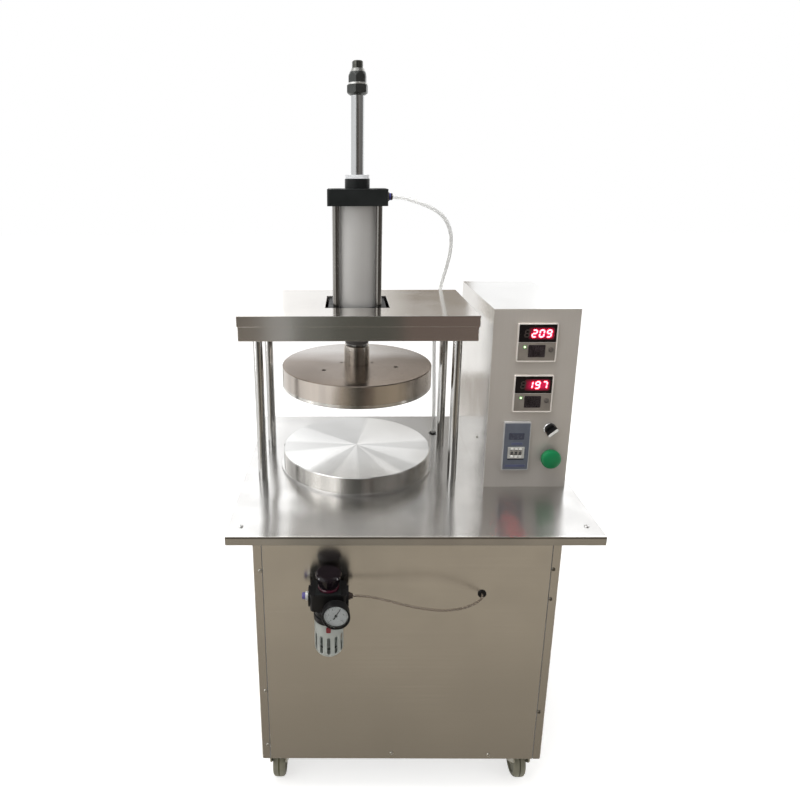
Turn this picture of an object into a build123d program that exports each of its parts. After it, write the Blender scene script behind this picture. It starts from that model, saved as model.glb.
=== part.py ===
from build123d import *

import os
from math import cos, pi, radians, sin, tan

# A pneumatic tortilla press on a wheeled stainless cabinet, in millimetres.
# +Z is up, the front faces -Y, and the origin is on the floor under the middle of the box that holds it all.

# Table and cabinet
table_width = 640.0
table_depth = 540.0
table_height = 590.0
table_sheet = 1.5
table_skirt = 16.0
table_hem = 11.0
cabinet_width = 532.0
cabinet_depth = 512.0
cabinet_shift = -12.0
corner_radius = 5.0
panel_sheet = 1.2
panel_lip = 16.0
panel_gap = 1.4
post_leg = 28.0
post_sheet = 3.0
bed_thickness = 8.0
bed_inset = 22.0
base_thickness = 3.0

# Casters: a swivelling pair in front, a fixed pair behind
caster_height = 102.0
caster_inset = 27.5
caster_setback = 40.0
caster_trail = 25.0
caster_plate_size = 54.0
caster_plate_thickness = 3.0
wheel_diameter = 75.0
wheel_width = 26.0
hub_diameter = 28.0
hub_slope = 2.0
wheel_web_inset = 4.0
wheel_rim = 4.0
tread_depth = 4.0
axle_diameter = 8.0
axle_head_diameter = 13.0
axle_head_length = 4.0
kingpin_diameter = 10.0
kingpin_head_diameter = 17.0
kingpin_head_height = 3.0
race_diameter = 38.0
crown_drop = 18.0
fork_sheet = 2.5
fork_end_radius = 10.0
fork_shoulder_radius = 15.0

# Press frame
press_x = -94.0
press_offset = 22.0
column_diameter = 18.0
column_span_x = 377.0
column_span_y = 160.0
stud_diameter = 14.0
stud_end = 4.0
nut_flats = 21.0
nut_height = 11.0
beam_clear = 296.5
beam_width = 436.0
beam_depth = 266.0
beam_height = 46.5
beam_sheet = 1.5
beam_skirt = 20.0
beam_opening = 122.0
plate_width = 420.0
plate_depth = 200.0
plate_thickness = 12.0

# Air cylinder with a rod through both heads
head_size = 111.5
head_height = 30.0
head_corner = 5.0
barrel_diameter = 96.0
bore_diameter = 88.0
spigot_height = 6.0
tie_rod_diameter = 12.0
tie_rod_span = 80.0
tie_rod_seat = 24.0
tie_nut_flats = 17.0
tie_nut_height = 10.0
counterbore_diameter = 20.4
counterbore_depth = 12.0
boss_diameter = 47.0
upper_boss_height = 18.0
lower_boss_drop = 36.5
wiper_height = 7.0
wiper_diameter = 45.0
rod_diameter = 25.0
rod_thread_diameter = 19.5
rod_thread_end = 13.0
piston_height = 30.0
piston_end_play = 6.5
piston_groove = 8.0
piston_groove_depth = 4.0
stop_margin = 4.0
stop_nut_flats = 35.0
stop_nut_height = 18.0
stop_nut_slope = 0.6
stroke_nut_turn = 20.0
washer_diameter = 36.0
washer_height = 3.0
lock_nut_flats = 30.0
lock_nut_height = 24.0
lock_nut_straight = 0.45
lock_nut_lip = 2.0
hex_half_angle = 30.0

# Platens
lower_platen_diameter = 306.0
lower_platen_thickness = 31.0
seat_diameter = 318.0
seat_thickness = 5.0
upper_platen_diameter = 302.0
upper_platen_height = 44.0
platen_flange = 7.0
platen_body = 14.0
platen_hub_diameter = 80.0
platen_edge = 1.5
cover_sheet = 2.0
cover_hole_circle = 166.0
cover_hole_diameter = 9.0
cover_holes = 3
cover_hole_turn = 98.0
coupling_hole_offset = 31.0
coupling_hole_diameter = 6.0
daylight = 137.0
closed_gap = 2.0
coupling_diameter = 52.0
coupling_gap = 4.0
coupling_floor = 6.0
heater_tube = 10.0
heater_circle = 210.0
heater_step = 60.0

# Control box
box_left = 150.5
box_width = 157.0
box_depth = 308.0
box_front = -96.0
box_height = 352.0
box_sheet = 1.2
box_hem = 14.0
fascia_sheet = 1.5
bezel_depth = 5.0
bezel_corner = 2.5
controller_size = 72.0
controller_body = 66.0
controller_length = 78.0
controller_shift = 1.7
controller_upper = 290.5
controller_lower = 192.5
controller_window_width = 69.0
controller_window_height = 68.5
controller_window_depth = 1.2
timer_width = 50.5
timer_height = 99.0
timer_body_width = 44.0
timer_body_height = 90.0
timer_length = 70.0
timer_shift = -22.0
timer_level = 87.0
thumbwheel_diameter = 18.0
thumbwheel_width = 6.9
thumbwheel_pitch = 7.7
thumbwheel_drop = 12.5
thumbwheel_proud = 1.5
thumbwheel_pin = 3.0
thumbwheel_count = 3
thumbwheel_sides = 10
thumbwheel_room = 1.0
selector_shift = 40.5
selector_level = 121.0
button_shift = 43.0
button_level = 64.5
sleeve_diameter = 22.0
sleeve_length = 20.0
ring_diameter = 24.5
ring_depth = 2.5
contact_width = 30.0
contact_height = 40.0
contact_length = 34.0
stem_diameter = 14.0
button_diameter = 37.5
button_thickness = 13.0
button_dome = 6.0
button_dome_steps = 6
button_travel = 4.5
button_rest_gap = 1.0
selector_diameter = 20.5
selector_base = 5.0
selector_bar_width = 6.0
selector_bar_length = 23.0
selector_bar_depth = 13.0
selector_angle = 40.0

# Filter regulator on the front panel
regulator_x = -146.0
regulator_standoff = 28.0
port_drop = 104.0
regulator_body_width = 62.0
regulator_body_depth = 42.0
regulator_body_rise = 15.0
regulator_body_drop = 16.0
regulator_body_corner = 8.0
port_diameter = 34.0
port_reach = 34.0
port_boss = 5.0
neck_diameter = 29.5
neck_height = 6.0
collar_diameter = 52.0
collar_height = 24.0
collar_shoulder = 3.5
collar_groove = 6.0
collar_groove_level = 12.0
collar_groove_depth = 2.0
knob_top_diameter = 44.5
knob_base_diameter = 33.0
knob_height = 28.5
knob_edge = 4.0
knob_ring = 1.5
knob_ring_height = 2.5
knob_bevel = 1.2
bracket_width = 42.0
bracket_sheet = 2.5
bracket_leg = 34.0
gauge_shift = 13.0
gauge_drop = 8.0
gauge_diameter = 47.0
gauge_depth = 18.0
gauge_rim = 2.2
gauge_ring = 5.0
gauge_back_edge = 3.0
gauge_recess = 6.0
gauge_stem_diameter = 12.0
gauge_stem = 6.5
lens_thickness = 1.5
lens_inset = 0.6
needle_length = 15.0
needle_tail = 8.0
needle_width = 2.2
needle_thickness = 1.0
needle_hub_diameter = 5.0
needle_pin_diameter = 2.0
needle_pin_end = 0.8
needle_tip = 0.6
needle_angle = 60.0
guard_diameter = 50.0
guard_length = 70.0
guard_wall = 1.5
guard_slots = 12
guard_slot_width = 5.4
guard_slot_length = 34.0
guard_slot_rise = 11.5
guard_round = 14.0
bowl_diameter = 41.0
bowl_wall = 2.0
bowl_length = 60.0
tab_width = 8.0
tab_height = 9.0
tab_thickness = 3.0
tab_travel = 4.0
tab_stem_width = 4.0
tab_stem_height = 5.0
tab_level = 7.5
tab_corner = 2.0

# Air hoses and their fittings
cylinder_tube = 8.0
regulator_tube = 4.0
supply_tube = 6.0
bend_share = 0.45
fitting_hex_length = 5.0
fitting_collar_length = 6.0
small_hex_length = 3.0
small_collar_length = 4.0
fitting_thread_length = 6.0
fitting_wall = 2.6
fitting_step = 1.6
fitting_seat = 2.0
bush_x = 88.0
bush_offset = 164.0
bush_wall = 3.0
bush_flange = 2.5
bush_flange_height = 2.0
hole_x = 121.0
hole_drop = 121.0
bush_nut_height = 5.0
bush_tail = 3.0
gland_x = 180.0
gland_rise = 68.0
gland_bore = 10.0
gland_diameter = 20.0
gland_nut_diameter = 27.0
gland_nut_height = 5.0
gland_step = 2.0
gland_nose = 3.0
gland_length = 13.0
gland_inside = 12.0

# Solenoid valve under the bed plate
valve_x = 60.0
valve_offset = 60.0
valve_width = 34.0
valve_length = 96.0
valve_height = 26.0
coil_length = 36.0
coil_height = 30.0
coil_inset = 6.0
valve_corner = 2.0
valve_ports = 3
valve_port_depth = 9.0

# Broken edges
small_edge = 1.0
edge = 1.5
fine_edge = 0.8

# Clearances
running_clearance = 0.06
sliding_clearance = 0.3
fixed_clearance = 0.1
wheel_play = 0.5

# Levels
base_top = caster_height + base_thickness
table_under = table_height - table_sheet
bed_bottom = table_under - bed_thickness
port_level = table_height - port_drop
hole_level = table_height - hole_drop
gland_level = caster_height + gland_rise
seat_top = table_height + seat_thickness
lower_platen_top = seat_top + lower_platen_thickness
upper_platen_bottom = lower_platen_top + daylight
cover_top = upper_platen_bottom + upper_platen_height
beam_bottom = table_height + beam_clear
beam_top = beam_bottom + beam_height
plate_bottom = beam_bottom + beam_sheet
plate_top = plate_bottom + plate_thickness
lower_head_top = plate_top + head_height
stroke = daylight - closed_gap
barrel_length = stroke + piston_height + 2 * (spigot_height + piston_end_play)
barrel_top = lower_head_top + barrel_length
upper_head_top = barrel_top + head_height
boss_top = upper_head_top + upper_boss_height
wiper_top = boss_top + wiper_height
lower_boss_bottom = beam_bottom - lower_boss_drop
coupling_top = lower_boss_bottom - coupling_gap
stop_bottom = wiper_top + stroke + stop_margin
stop_top = stop_bottom + stop_nut_height
washer_top = stop_top + washer_height
lock_top = washer_top + lock_nut_height
rod_top = lock_top + rod_thread_end

# Places: the gauge stands out in front of the table, so the table sits half of that reach behind the origin
panel_inset = (table_depth - cabinet_depth) / 2
gauge_reach = regulator_body_depth / 2 + gauge_stem + gauge_depth
front_reach = regulator_standoff + gauge_reach - panel_inset
table_y = front_reach / 2
cabinet_front = table_y - cabinet_depth / 2
cabinet_back = table_y + cabinet_depth / 2
cabinet_left = cabinet_shift - cabinet_width / 2
cabinet_right = cabinet_shift + cabinet_width / 2
press_y = table_y + press_offset
box_face = table_y + box_front
box_x = box_left + box_width / 2
regulator_y = cabinet_front - regulator_standoff
body_top = port_level + regulator_body_rise
body_bottom = port_level - regulator_body_drop
collar_bottom = body_bottom - collar_height
neck_top = body_top + bracket_sheet + neck_height
gauge_x = regulator_x + gauge_shift
gauge_z = port_level - gauge_drop
gauge_front = regulator_y - gauge_reach
column_places = GridLocations(column_span_x, column_span_y, 2, 2).locations


def level(z, x=0.0, y=0.0):
    """A horizontal plane."""
    return Plane(origin=(x, y, z))


def front_plane(x, y, z):
    """An upright plane that faces the front: its own x is +X, its own y is +Z."""
    return Plane(origin=(x, y, z), x_dir=(1, 0, 0), z_dir=(0, -1, 0))


def side_plane(x, y, z):
    """An upright plane that faces the right: its own x is +Y, its own y is +Z."""
    return Plane(origin=(x, y, z), x_dir=(0, 1, 0), z_dir=(1, 0, 0))


def turned(outline, origin, direction=(0, 0, 1)):
    """A turned solid. The outline holds (radius, distance along the direction) points."""
    along = Vector(*direction)
    radial = Vector(0, 0, 1) if abs(along.X) > 0.5 else Vector(1, 0, 0)
    with BuildPart() as piece:
        with BuildSketch(Plane(origin=origin, x_dir=radial, z_dir=radial.cross(along))):
            with BuildLine():
                Polyline(*outline, close=True)
            make_face()
        revolve(axis=Axis(origin, direction))
    return piece.part


def rod(diameter, bottom, top, x, y):
    """A plain upright cylinder."""
    with BuildPart() as piece:
        with BuildSketch(level(bottom, x, y)):
            Circle(diameter / 2)
        extrude(amount=top - bottom)
    return piece.part


def tube(outer, inner, bottom, top, x, y):
    """An upright tube."""
    with BuildPart() as piece:
        with BuildSketch(level(bottom, x, y)):
            Circle(outer / 2)
            Circle(inner / 2, mode=Mode.SUBTRACT)
        extrude(amount=top - bottom)
    return piece.part


def hex_nut(flats, bore, bottom, top, x, y, turn=0.0):
    """An upright hexagon nut."""
    with BuildPart() as piece:
        with BuildSketch(level(bottom, x, y)):
            RegularPolygon(flats / 2, 6, major_radius=False, rotation=turn)
            Circle(bore / 2, mode=Mode.SUBTRACT)
        extrude(amount=top - bottom)
    return piece.part


def fitting_hole(tube_diameter):
    """The hole that takes the thread of a push-in fitting."""
    return tube_diameter + 2 * (fitting_wall - fitting_step + fixed_clearance)


def group(pieces):
    """Separate solids that share one node."""
    return Compound(children=list(pieces))


def save(part, name):
    part.label = name
    export_step(part, f"parts/{name}.step")


os.makedirs("parts", exist_ok=True)


# Cabinet

with BuildPart() as base_plate:
    with BuildSketch(level(caster_height, cabinet_shift, table_y)):
        RectangleRounded(
            cabinet_width - 2 * panel_sheet, cabinet_depth - 2 * panel_sheet, corner_radius - panel_sheet
        )
    extrude(amount=base_thickness)
save(base_plate.part, "base_plate")


def corner_post(side_x, side_y):
    """An upright angle in one corner, standing on the base plate."""
    inner_width = cabinet_width - 2 * panel_sheet
    inner_depth = cabinet_depth - 2 * panel_sheet
    with BuildPart() as post:
        with BuildSketch(level(base_top, cabinet_shift, table_y)):
            RectangleRounded(inner_width, inner_depth, corner_radius - panel_sheet)
            RectangleRounded(
                inner_width - 2 * post_sheet,
                inner_depth - 2 * post_sheet,
                corner_radius - panel_sheet - post_sheet,
                mode=Mode.SUBTRACT,
            )
            with Locations((side_x * (inner_width - post_leg) / 2, side_y * (inner_depth - post_leg) / 2)):
                Rectangle(post_leg, post_leg, mode=Mode.INTERSECT)
        extrude(amount=bed_bottom - base_top)
    return post.part


save(group(corner_post(i, j) for i in (-1, 1) for j in (-1, 1)), "corner_posts")


def side_panel(side):
    """A side sheet whose front and back edges are folded round the corners."""
    with BuildPart() as panel:
        with BuildSketch(level(caster_height, cabinet_shift, table_y)):
            RectangleRounded(cabinet_width, cabinet_depth, corner_radius)
            RectangleRounded(
                cabinet_width - 2 * panel_sheet,
                cabinet_depth - 2 * panel_sheet,
                corner_radius - panel_sheet,
                mode=Mode.SUBTRACT,
            )
            with Locations((side * (cabinet_width - panel_lip) / 2, 0)):
                Rectangle(panel_lip, cabinet_depth, mode=Mode.INTERSECT)
        extrude(amount=bed_bottom - caster_height)
    return panel.part


save(side_panel(-1), "left_side_panel")
save(side_panel(1), "right_side_panel")

flat_panel_width = cabinet_width - 2 * (panel_lip + panel_gap)
panel_middle = (caster_height + bed_bottom) / 2
regulator_bush_body = regulator_tube + 2 * bush_wall

with BuildPart() as front_panel:
    with BuildSketch(front_plane(cabinet_shift, cabinet_front + panel_sheet, panel_middle)):
        Rectangle(flat_panel_width, bed_bottom - caster_height)
        with Locations((hole_x - cabinet_shift, hole_level - panel_middle)):
            Circle(regulator_bush_body / 2 + fixed_clearance, mode=Mode.SUBTRACT)
    extrude(amount=panel_sheet)
save(front_panel.part, "front_panel")

with BuildPart() as rear_panel:
    with BuildSketch(front_plane(cabinet_shift, cabinet_back, panel_middle)):
        Rectangle(flat_panel_width, bed_bottom - caster_height)
        with Locations((gland_x - cabinet_shift, gland_level - panel_middle)):
            Circle(gland_diameter / 2 + fixed_clearance, mode=Mode.SUBTRACT)
    extrude(amount=panel_sheet)
save(rear_panel.part, "rear_panel")

bush_y = table_y + bush_offset
cylinder_bush_body = cylinder_tube + 2 * bush_wall

with BuildPart() as bed_plate:
    with BuildSketch(level(bed_bottom, 0, table_y)):
        Rectangle(table_width - 2 * bed_inset, table_depth - 2 * bed_inset)
        with Locations((press_x, press_offset)):
            with Locations(column_places):
                Circle(stud_diameter / 2 + fixed_clearance, mode=Mode.SUBTRACT)
        with Locations((bush_x, bush_offset)):
            Circle(cylinder_bush_body / 2 + fixed_clearance, mode=Mode.SUBTRACT)
    extrude(amount=bed_thickness)
save(bed_plate.part, "bed_plate")

with BuildPart() as table_top:
    with BuildSketch(level(table_height - table_skirt, 0, table_y)):
        Rectangle(table_width, table_depth)
    extrude(amount=table_skirt)
    with BuildSketch(level(table_height - table_skirt + table_sheet, 0, table_y)):
        Rectangle(table_width - 2 * table_sheet, table_depth - 2 * table_sheet)
    extrude(amount=table_skirt - 2 * table_sheet, mode=Mode.SUBTRACT)
    with BuildSketch(level(table_height - table_skirt, 0, table_y)):
        Rectangle(table_width - 2 * table_hem, table_depth - 2 * table_hem)
    extrude(amount=table_sheet, mode=Mode.SUBTRACT)
    with BuildSketch(level(table_under, 0, table_y)):
        with Locations((press_x, press_offset)):
            with Locations(column_places):
                Circle(stud_diameter / 2 + fixed_clearance)
        with Locations((bush_x, bush_offset)):
            Circle(cylinder_bush_body / 2 + fixed_clearance)
    extrude(amount=table_sheet, mode=Mode.SUBTRACT)
save(table_top.part, "table_top")


# Casters

wheel_radius = wheel_diameter / 2
fork_inner = wheel_width + 2 * wheel_play
fork_outer = fork_inner + 2 * fork_sheet
crown_top = caster_height - crown_drop
crown_bottom = crown_top - fork_sheet
race_top = caster_height - caster_plate_thickness - sliding_clearance
front_caster_y = cabinet_front + caster_setback
rear_caster_y = cabinet_back - caster_setback
caster_x = {"left": cabinet_left + caster_inset, "right": cabinet_right - caster_inset}


def caster_plate(x):
    """The plate under the cabinet with the riveted kingpin that the fork turns on."""
    pin_bottom = crown_bottom - sliding_clearance
    with BuildPart() as plate:
        with BuildSketch(level(caster_height - caster_plate_thickness, x, front_caster_y)):
            RectangleRounded(caster_plate_size, caster_plate_size, head_corner)
        extrude(amount=caster_plate_thickness)
        add(rod(kingpin_diameter, pin_bottom, caster_height, x, front_caster_y))
        add(rod(kingpin_head_diameter, pin_bottom - kingpin_head_height, pin_bottom, x, front_caster_y))
    return plate.part


save(group(caster_plate(x) for x in caster_x.values()), "front_caster_plates")


def fork_legs(x, y, top, trail):
    """Two cheeks from the crown down to the axle, with the axle riveted across them."""
    with BuildPart() as legs:
        with BuildSketch(side_plane(x - fork_outer / 2, y, 0)):
            with Locations((0, top - fork_shoulder_radius)):
                Circle(fork_shoulder_radius)
            with Locations((trail, wheel_radius)):
                Circle(fork_end_radius)
            make_hull()
        extrude(amount=fork_outer)
        with BuildSketch(side_plane(x - fork_inner / 2, y, 0)):
            with Locations((trail / 2, top / 2 - fork_sheet)):
                Rectangle(4 * wheel_radius, top)
        extrude(amount=fork_inner, mode=Mode.SUBTRACT)
        with BuildSketch(level(top - fork_sheet, x, y)):
            Rectangle(fork_outer, 2 * fork_shoulder_radius)
        extrude(amount=fork_sheet)
        reach = fork_outer / 2 + axle_head_length
        axle_outline = [
            (0, -reach),
            (axle_head_diameter / 2, -reach),
            (axle_head_diameter / 2, -fork_outer / 2),
            (axle_diameter / 2, -fork_outer / 2),
            (axle_diameter / 2, fork_outer / 2),
            (axle_head_diameter / 2, fork_outer / 2),
            (axle_head_diameter / 2, reach),
            (0, reach),
        ]
        add(turned(axle_outline, (x, y + trail, wheel_radius), (1, 0, 0)))
    return legs.part


def swivel_fork(x):
    """A fork on its ball race, bored for the kingpin."""
    bore = kingpin_diameter + 2 * running_clearance
    with BuildPart() as fork:
        add(fork_legs(x, front_caster_y, crown_top, caster_trail))
        add(rod(race_diameter, crown_top, race_top, x, front_caster_y))
        add(rod(bore, crown_bottom, race_top, x, front_caster_y), mode=Mode.SUBTRACT)
    return fork.part


def fixed_frame(x):
    """A fixed caster's plate and fork, pressed from one sheet."""
    with BuildPart() as frame:
        with BuildSketch(level(caster_height - caster_plate_thickness, x, rear_caster_y)):
            RectangleRounded(caster_plate_size, caster_plate_size, head_corner)
        extrude(amount=caster_plate_thickness)
        add(fork_legs(x, rear_caster_y, caster_height - caster_plate_thickness, 0.0))
    return frame.part


def caster_wheel(x, y):
    """A wheel with a rounded tread, a thinner web and a bored hub."""
    half = wheel_width / 2
    web = half - wheel_web_inset
    shoulder = wheel_radius - tread_depth
    rim = shoulder - wheel_rim
    outline = [
        (axle_diameter / 2 + running_clearance, -half),
        (hub_diameter / 2, -half),
        (hub_diameter / 2 + hub_slope, -web),
        (rim - hub_slope, -web),
        (rim, small_edge - half),
        (shoulder, small_edge - half),
        (wheel_radius - small_edge, tread_depth - half),
        (wheel_radius, 2 * tread_depth - half),
        (wheel_radius, half - 2 * tread_depth),
        (wheel_radius - small_edge, half - tread_depth),
        (shoulder, half - small_edge),
        (rim, half - small_edge),
        (rim - hub_slope, web),
        (hub_diameter / 2 + hub_slope, web),
        (hub_diameter / 2, half),
        (axle_diameter / 2 + running_clearance, half),
    ]
    return turned(outline, (x, y, wheel_radius), (1, 0, 0))


for side, x in caster_x.items():
    save(swivel_fork(x), f"{side}_caster_fork")
    save(caster_wheel(x, front_caster_y + caster_trail), f"front_{side}_wheel")
    save(caster_wheel(x, rear_caster_y), f"rear_{side}_wheel")
save(group(fixed_frame(x) for x in caster_x.values()), "rear_caster_frames")


# Press frame

column_spots = [(press_x + p.position.X, press_y + p.position.Y) for p in column_places]
stud_top = plate_top + nut_height + stud_end


def column(x, y):
    """A ground bar that stands on the table, with a turned-down stud at each end."""
    outline = [
        (0, bed_bottom),
        (stud_diameter / 2, bed_bottom),
        (stud_diameter / 2, table_height),
        (column_diameter / 2, table_height),
        (column_diameter / 2, plate_bottom),
        (stud_diameter / 2, plate_bottom),
        (stud_diameter / 2, stud_top),
        (0, stud_top),
    ]
    return turned(outline, (x, y, 0))


save(group(column(x, y) for x, y in column_spots), "columns")

stud_bore = stud_diameter + 2 * fixed_clearance
save(
    group(hex_nut(nut_flats, stud_bore, plate_top, plate_top + nut_height, x, y) for x, y in column_spots),
    "column_nuts",
)

boss_hole = boss_diameter + 2 * fixed_clearance

with BuildPart() as press_plate:
    with BuildSketch(level(plate_bottom, press_x, press_y)):
        RectangleRounded(plate_width, plate_depth, head_corner)
        with Locations(column_places):
            Circle(stud_bore / 2, mode=Mode.SUBTRACT)
        Circle(boss_hole / 2, mode=Mode.SUBTRACT)
    extrude(amount=plate_thickness)
save(press_plate.part, "press_plate")

tray_width = beam_width - 2 * (beam_sheet + fixed_clearance)
tray_depth = beam_depth - 2 * (beam_sheet + fixed_clearance)

with BuildPart() as beam_tray:
    with BuildSketch(level(beam_bottom, press_x, press_y)):
        Rectangle(tray_width, tray_depth)
    extrude(amount=beam_height - beam_sheet)
    with BuildSketch(level(plate_bottom, press_x, press_y)):
        Rectangle(tray_width - 2 * beam_sheet, tray_depth - 2 * beam_sheet)
    extrude(amount=beam_height, mode=Mode.SUBTRACT)
    with BuildSketch(level(beam_bottom, press_x, press_y)):
        with Locations(column_places):
            Circle(column_diameter / 2 + fixed_clearance)
        Circle(boss_hole / 2)
    extrude(amount=beam_sheet, mode=Mode.SUBTRACT)
save(beam_tray.part, "beam_tray")

with BuildPart() as beam_cover:
    with BuildSketch(level(beam_top - beam_skirt, press_x, press_y)):
        Rectangle(beam_width, beam_depth)
    extrude(amount=beam_skirt)
    with BuildSketch(level(beam_top - beam_skirt, press_x, press_y)):
        Rectangle(beam_width - 2 * beam_sheet, beam_depth - 2 * beam_sheet)
    extrude(amount=beam_skirt - beam_sheet, mode=Mode.SUBTRACT)
    with BuildSketch(level(beam_top - beam_sheet, press_x, press_y)):
        Rectangle(beam_opening, beam_opening)
    extrude(amount=beam_sheet, mode=Mode.SUBTRACT)
save(beam_cover.part, "beam_cover")


# Air cylinder

rod_bore = rod_diameter + 2 * running_clearance
spigot_diameter = bore_diameter - 2 * fixed_clearance
tie_bore = tie_rod_diameter + 2 * fixed_clearance
tie_places = GridLocations(tie_rod_span, tie_rod_span, 2, 2).locations
tie_spots = [(press_x + p.position.X, press_y + p.position.Y) for p in tie_places]
port_z = barrel_top + head_height / 2

with BuildPart() as cylinder_bottom_head:
    with BuildSketch(level(plate_top, press_x, press_y)):
        RectangleRounded(head_size, head_size, head_corner)
    extrude(amount=head_height)
    add(rod(spigot_diameter, lower_head_top, lower_head_top + spigot_height, press_x, press_y))
    add(rod(boss_diameter, lower_boss_bottom, plate_top, press_x, press_y))
    with BuildSketch(level(lower_head_top, press_x, press_y)):
        with Locations(tie_places):
            Circle(tie_bore / 2)
    extrude(amount=-tie_rod_seat, mode=Mode.SUBTRACT)
    add(
        rod(rod_bore, lower_boss_bottom, lower_head_top + spigot_height, press_x, press_y),
        mode=Mode.SUBTRACT,
    )
save(cylinder_bottom_head.part, "cylinder_bottom_head")

save(tube(barrel_diameter, bore_diameter, lower_head_top, barrel_top, press_x, press_y), "cylinder_barrel")

with BuildPart() as cylinder_top_head:
    with BuildSketch(level(barrel_top, press_x, press_y)):
        RectangleRounded(head_size, head_size, head_corner)
    extrude(amount=head_height)
    add(rod(spigot_diameter, barrel_top - spigot_height, barrel_top, press_x, press_y))
    add(rod(boss_diameter, upper_head_top, boss_top, press_x, press_y))
    with BuildSketch(level(barrel_top, press_x, press_y)):
        with Locations(tie_places):
            Circle(tie_bore / 2)
    extrude(amount=head_height, mode=Mode.SUBTRACT)
    with BuildSketch(level(upper_head_top, press_x, press_y)):
        with Locations(tie_places):
            Circle(counterbore_diameter / 2)
    extrude(amount=-counterbore_depth, mode=Mode.SUBTRACT)
    with BuildSketch(side_plane(press_x + head_size / 2, press_y, port_z)):
        Circle(fitting_hole(cylinder_tube) / 2)
    extrude(amount=-fitting_thread_length, mode=Mode.SUBTRACT)
    add(rod(rod_bore, barrel_top - spigot_height, boss_top, press_x, press_y), mode=Mode.SUBTRACT)
save(cylinder_top_head.part, "cylinder_top_head")

nut_seat = upper_head_top - counterbore_depth


def tie_rod(x, y):
    """A tie rod screwed into the lower head, with its nut sunk in the upper one."""
    with BuildPart() as piece:
        add(rod(tie_rod_diameter, lower_head_top - tie_rod_seat, nut_seat + tie_nut_height, x, y))
        add(hex_nut(tie_nut_flats, tie_rod_diameter, nut_seat, nut_seat + tie_nut_height, x, y))
    return piece.part


save(group(tie_rod(x, y) for x, y in tie_spots), "tie_rods")
save(tube(wiper_diameter, rod_bore, boss_top, wiper_top, press_x, press_y), "rod_wiper")


# Moving press: rod, piston, stroke nuts, coupling and upper platen

rod_bottom = cover_top + coupling_floor
rod_outline = [
    (0, rod_bottom),
    (rod_diameter / 2, rod_bottom),
    (rod_diameter / 2, stop_bottom),
    (rod_thread_diameter / 2, stop_bottom),
    (rod_thread_diameter / 2, rod_top - edge),
    (rod_thread_diameter / 2 - edge, rod_top),
    (0, rod_top),
]
save(turned(rod_outline, (press_x, press_y, 0)), "piston_rod")

rod_seat = rod_diameter + 2 * fixed_clearance
piston_top = barrel_top - spigot_height - piston_end_play
piston_radius = bore_diameter / 2 - running_clearance
groove_half = piston_groove / 2
groove_z = piston_top - piston_height / 2
piston_outline = [
    (rod_seat / 2, piston_top - piston_height),
    (piston_radius, piston_top - piston_height),
    (piston_radius, groove_z - groove_half),
    (piston_radius - piston_groove_depth, groove_z - groove_half),
    (piston_radius - piston_groove_depth, groove_z + groove_half),
    (piston_radius, groove_z + groove_half),
    (piston_radius, piston_top),
    (rod_seat / 2, piston_top),
]
save(turned(piston_outline, (press_x, press_y, 0)), "piston")

thread_bore = rod_thread_diameter + 2 * fixed_clearance
stop_corner = stop_nut_flats / 2 / cos(radians(hex_half_angle))
lock_corner = lock_nut_flats / 2 / cos(radians(hex_half_angle))

with BuildPart() as stop_nut:
    add(hex_nut(stop_nut_flats, thread_bore, stop_bottom, stop_top, press_x, press_y, stroke_nut_turn))
    stop_outline = [
        (0, stop_bottom),
        (rod_diameter / 2 + small_edge, stop_bottom),
        (stop_corner, stop_bottom + (stop_corner - rod_diameter / 2) * stop_nut_slope),
        (stop_corner, stop_top - edge),
        (stop_corner - 2 * edge, stop_top),
        (0, stop_top),
    ]
    add(turned(stop_outline, (press_x, press_y, 0)), mode=Mode.INTERSECT)

with BuildPart() as lock_nut:
    add(hex_nut(lock_nut_flats, thread_bore, washer_top, lock_top, press_x, press_y, stroke_nut_turn))
    lock_outline = [
        (0, washer_top),
        (lock_corner, washer_top),
        (lock_corner, washer_top + lock_nut_height * lock_nut_straight),
        (rod_thread_diameter / 2 + lock_nut_lip, lock_top),
        (0, lock_top),
    ]
    add(turned(lock_outline, (press_x, press_y, 0)), mode=Mode.INTERSECT)

stop_washer = tube(washer_diameter, thread_bore, stop_top, washer_top, press_x, press_y)
save(group([stop_nut.part, stop_washer, lock_nut.part]), "stroke_nuts")

coupling_outline = [
    (0, cover_top),
    (coupling_diameter / 2, cover_top),
    (coupling_diameter / 2, coupling_top - edge),
    (coupling_diameter / 2 - edge, coupling_top),
    (rod_seat / 2, coupling_top),
    (rod_seat / 2, rod_bottom),
    (0, rod_bottom),
]
save(turned(coupling_outline, (press_x, press_y, 0)), "rod_coupling")

flange_top = upper_platen_bottom + platen_flange
body_height = flange_top + platen_body
cover_radius = upper_platen_diameter / 2
hole_radius = cover_hole_circle / 2

with BuildPart() as upper_platen_cover:
    cover_outline = [
        (0, cover_top - cover_sheet),
        (cover_radius - cover_sheet, cover_top - cover_sheet),
        (cover_radius - cover_sheet, flange_top),
        (cover_radius, flange_top),
        (cover_radius, cover_top - platen_edge),
        (cover_radius - platen_edge, cover_top),
        (0, cover_top),
    ]
    add(turned(cover_outline, (press_x, press_y, 0)))
    with BuildSketch(level(cover_top, press_x, press_y)):
        with PolarLocations(hole_radius, cover_holes, cover_hole_turn):
            Circle(cover_hole_diameter / 2)
        with GridLocations(2 * coupling_hole_offset, 0, 2, 1):
            Circle(coupling_hole_diameter / 2)
    extrude(amount=-cover_sheet, mode=Mode.SUBTRACT)
save(upper_platen_cover.part, "upper_platen_cover")

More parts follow.
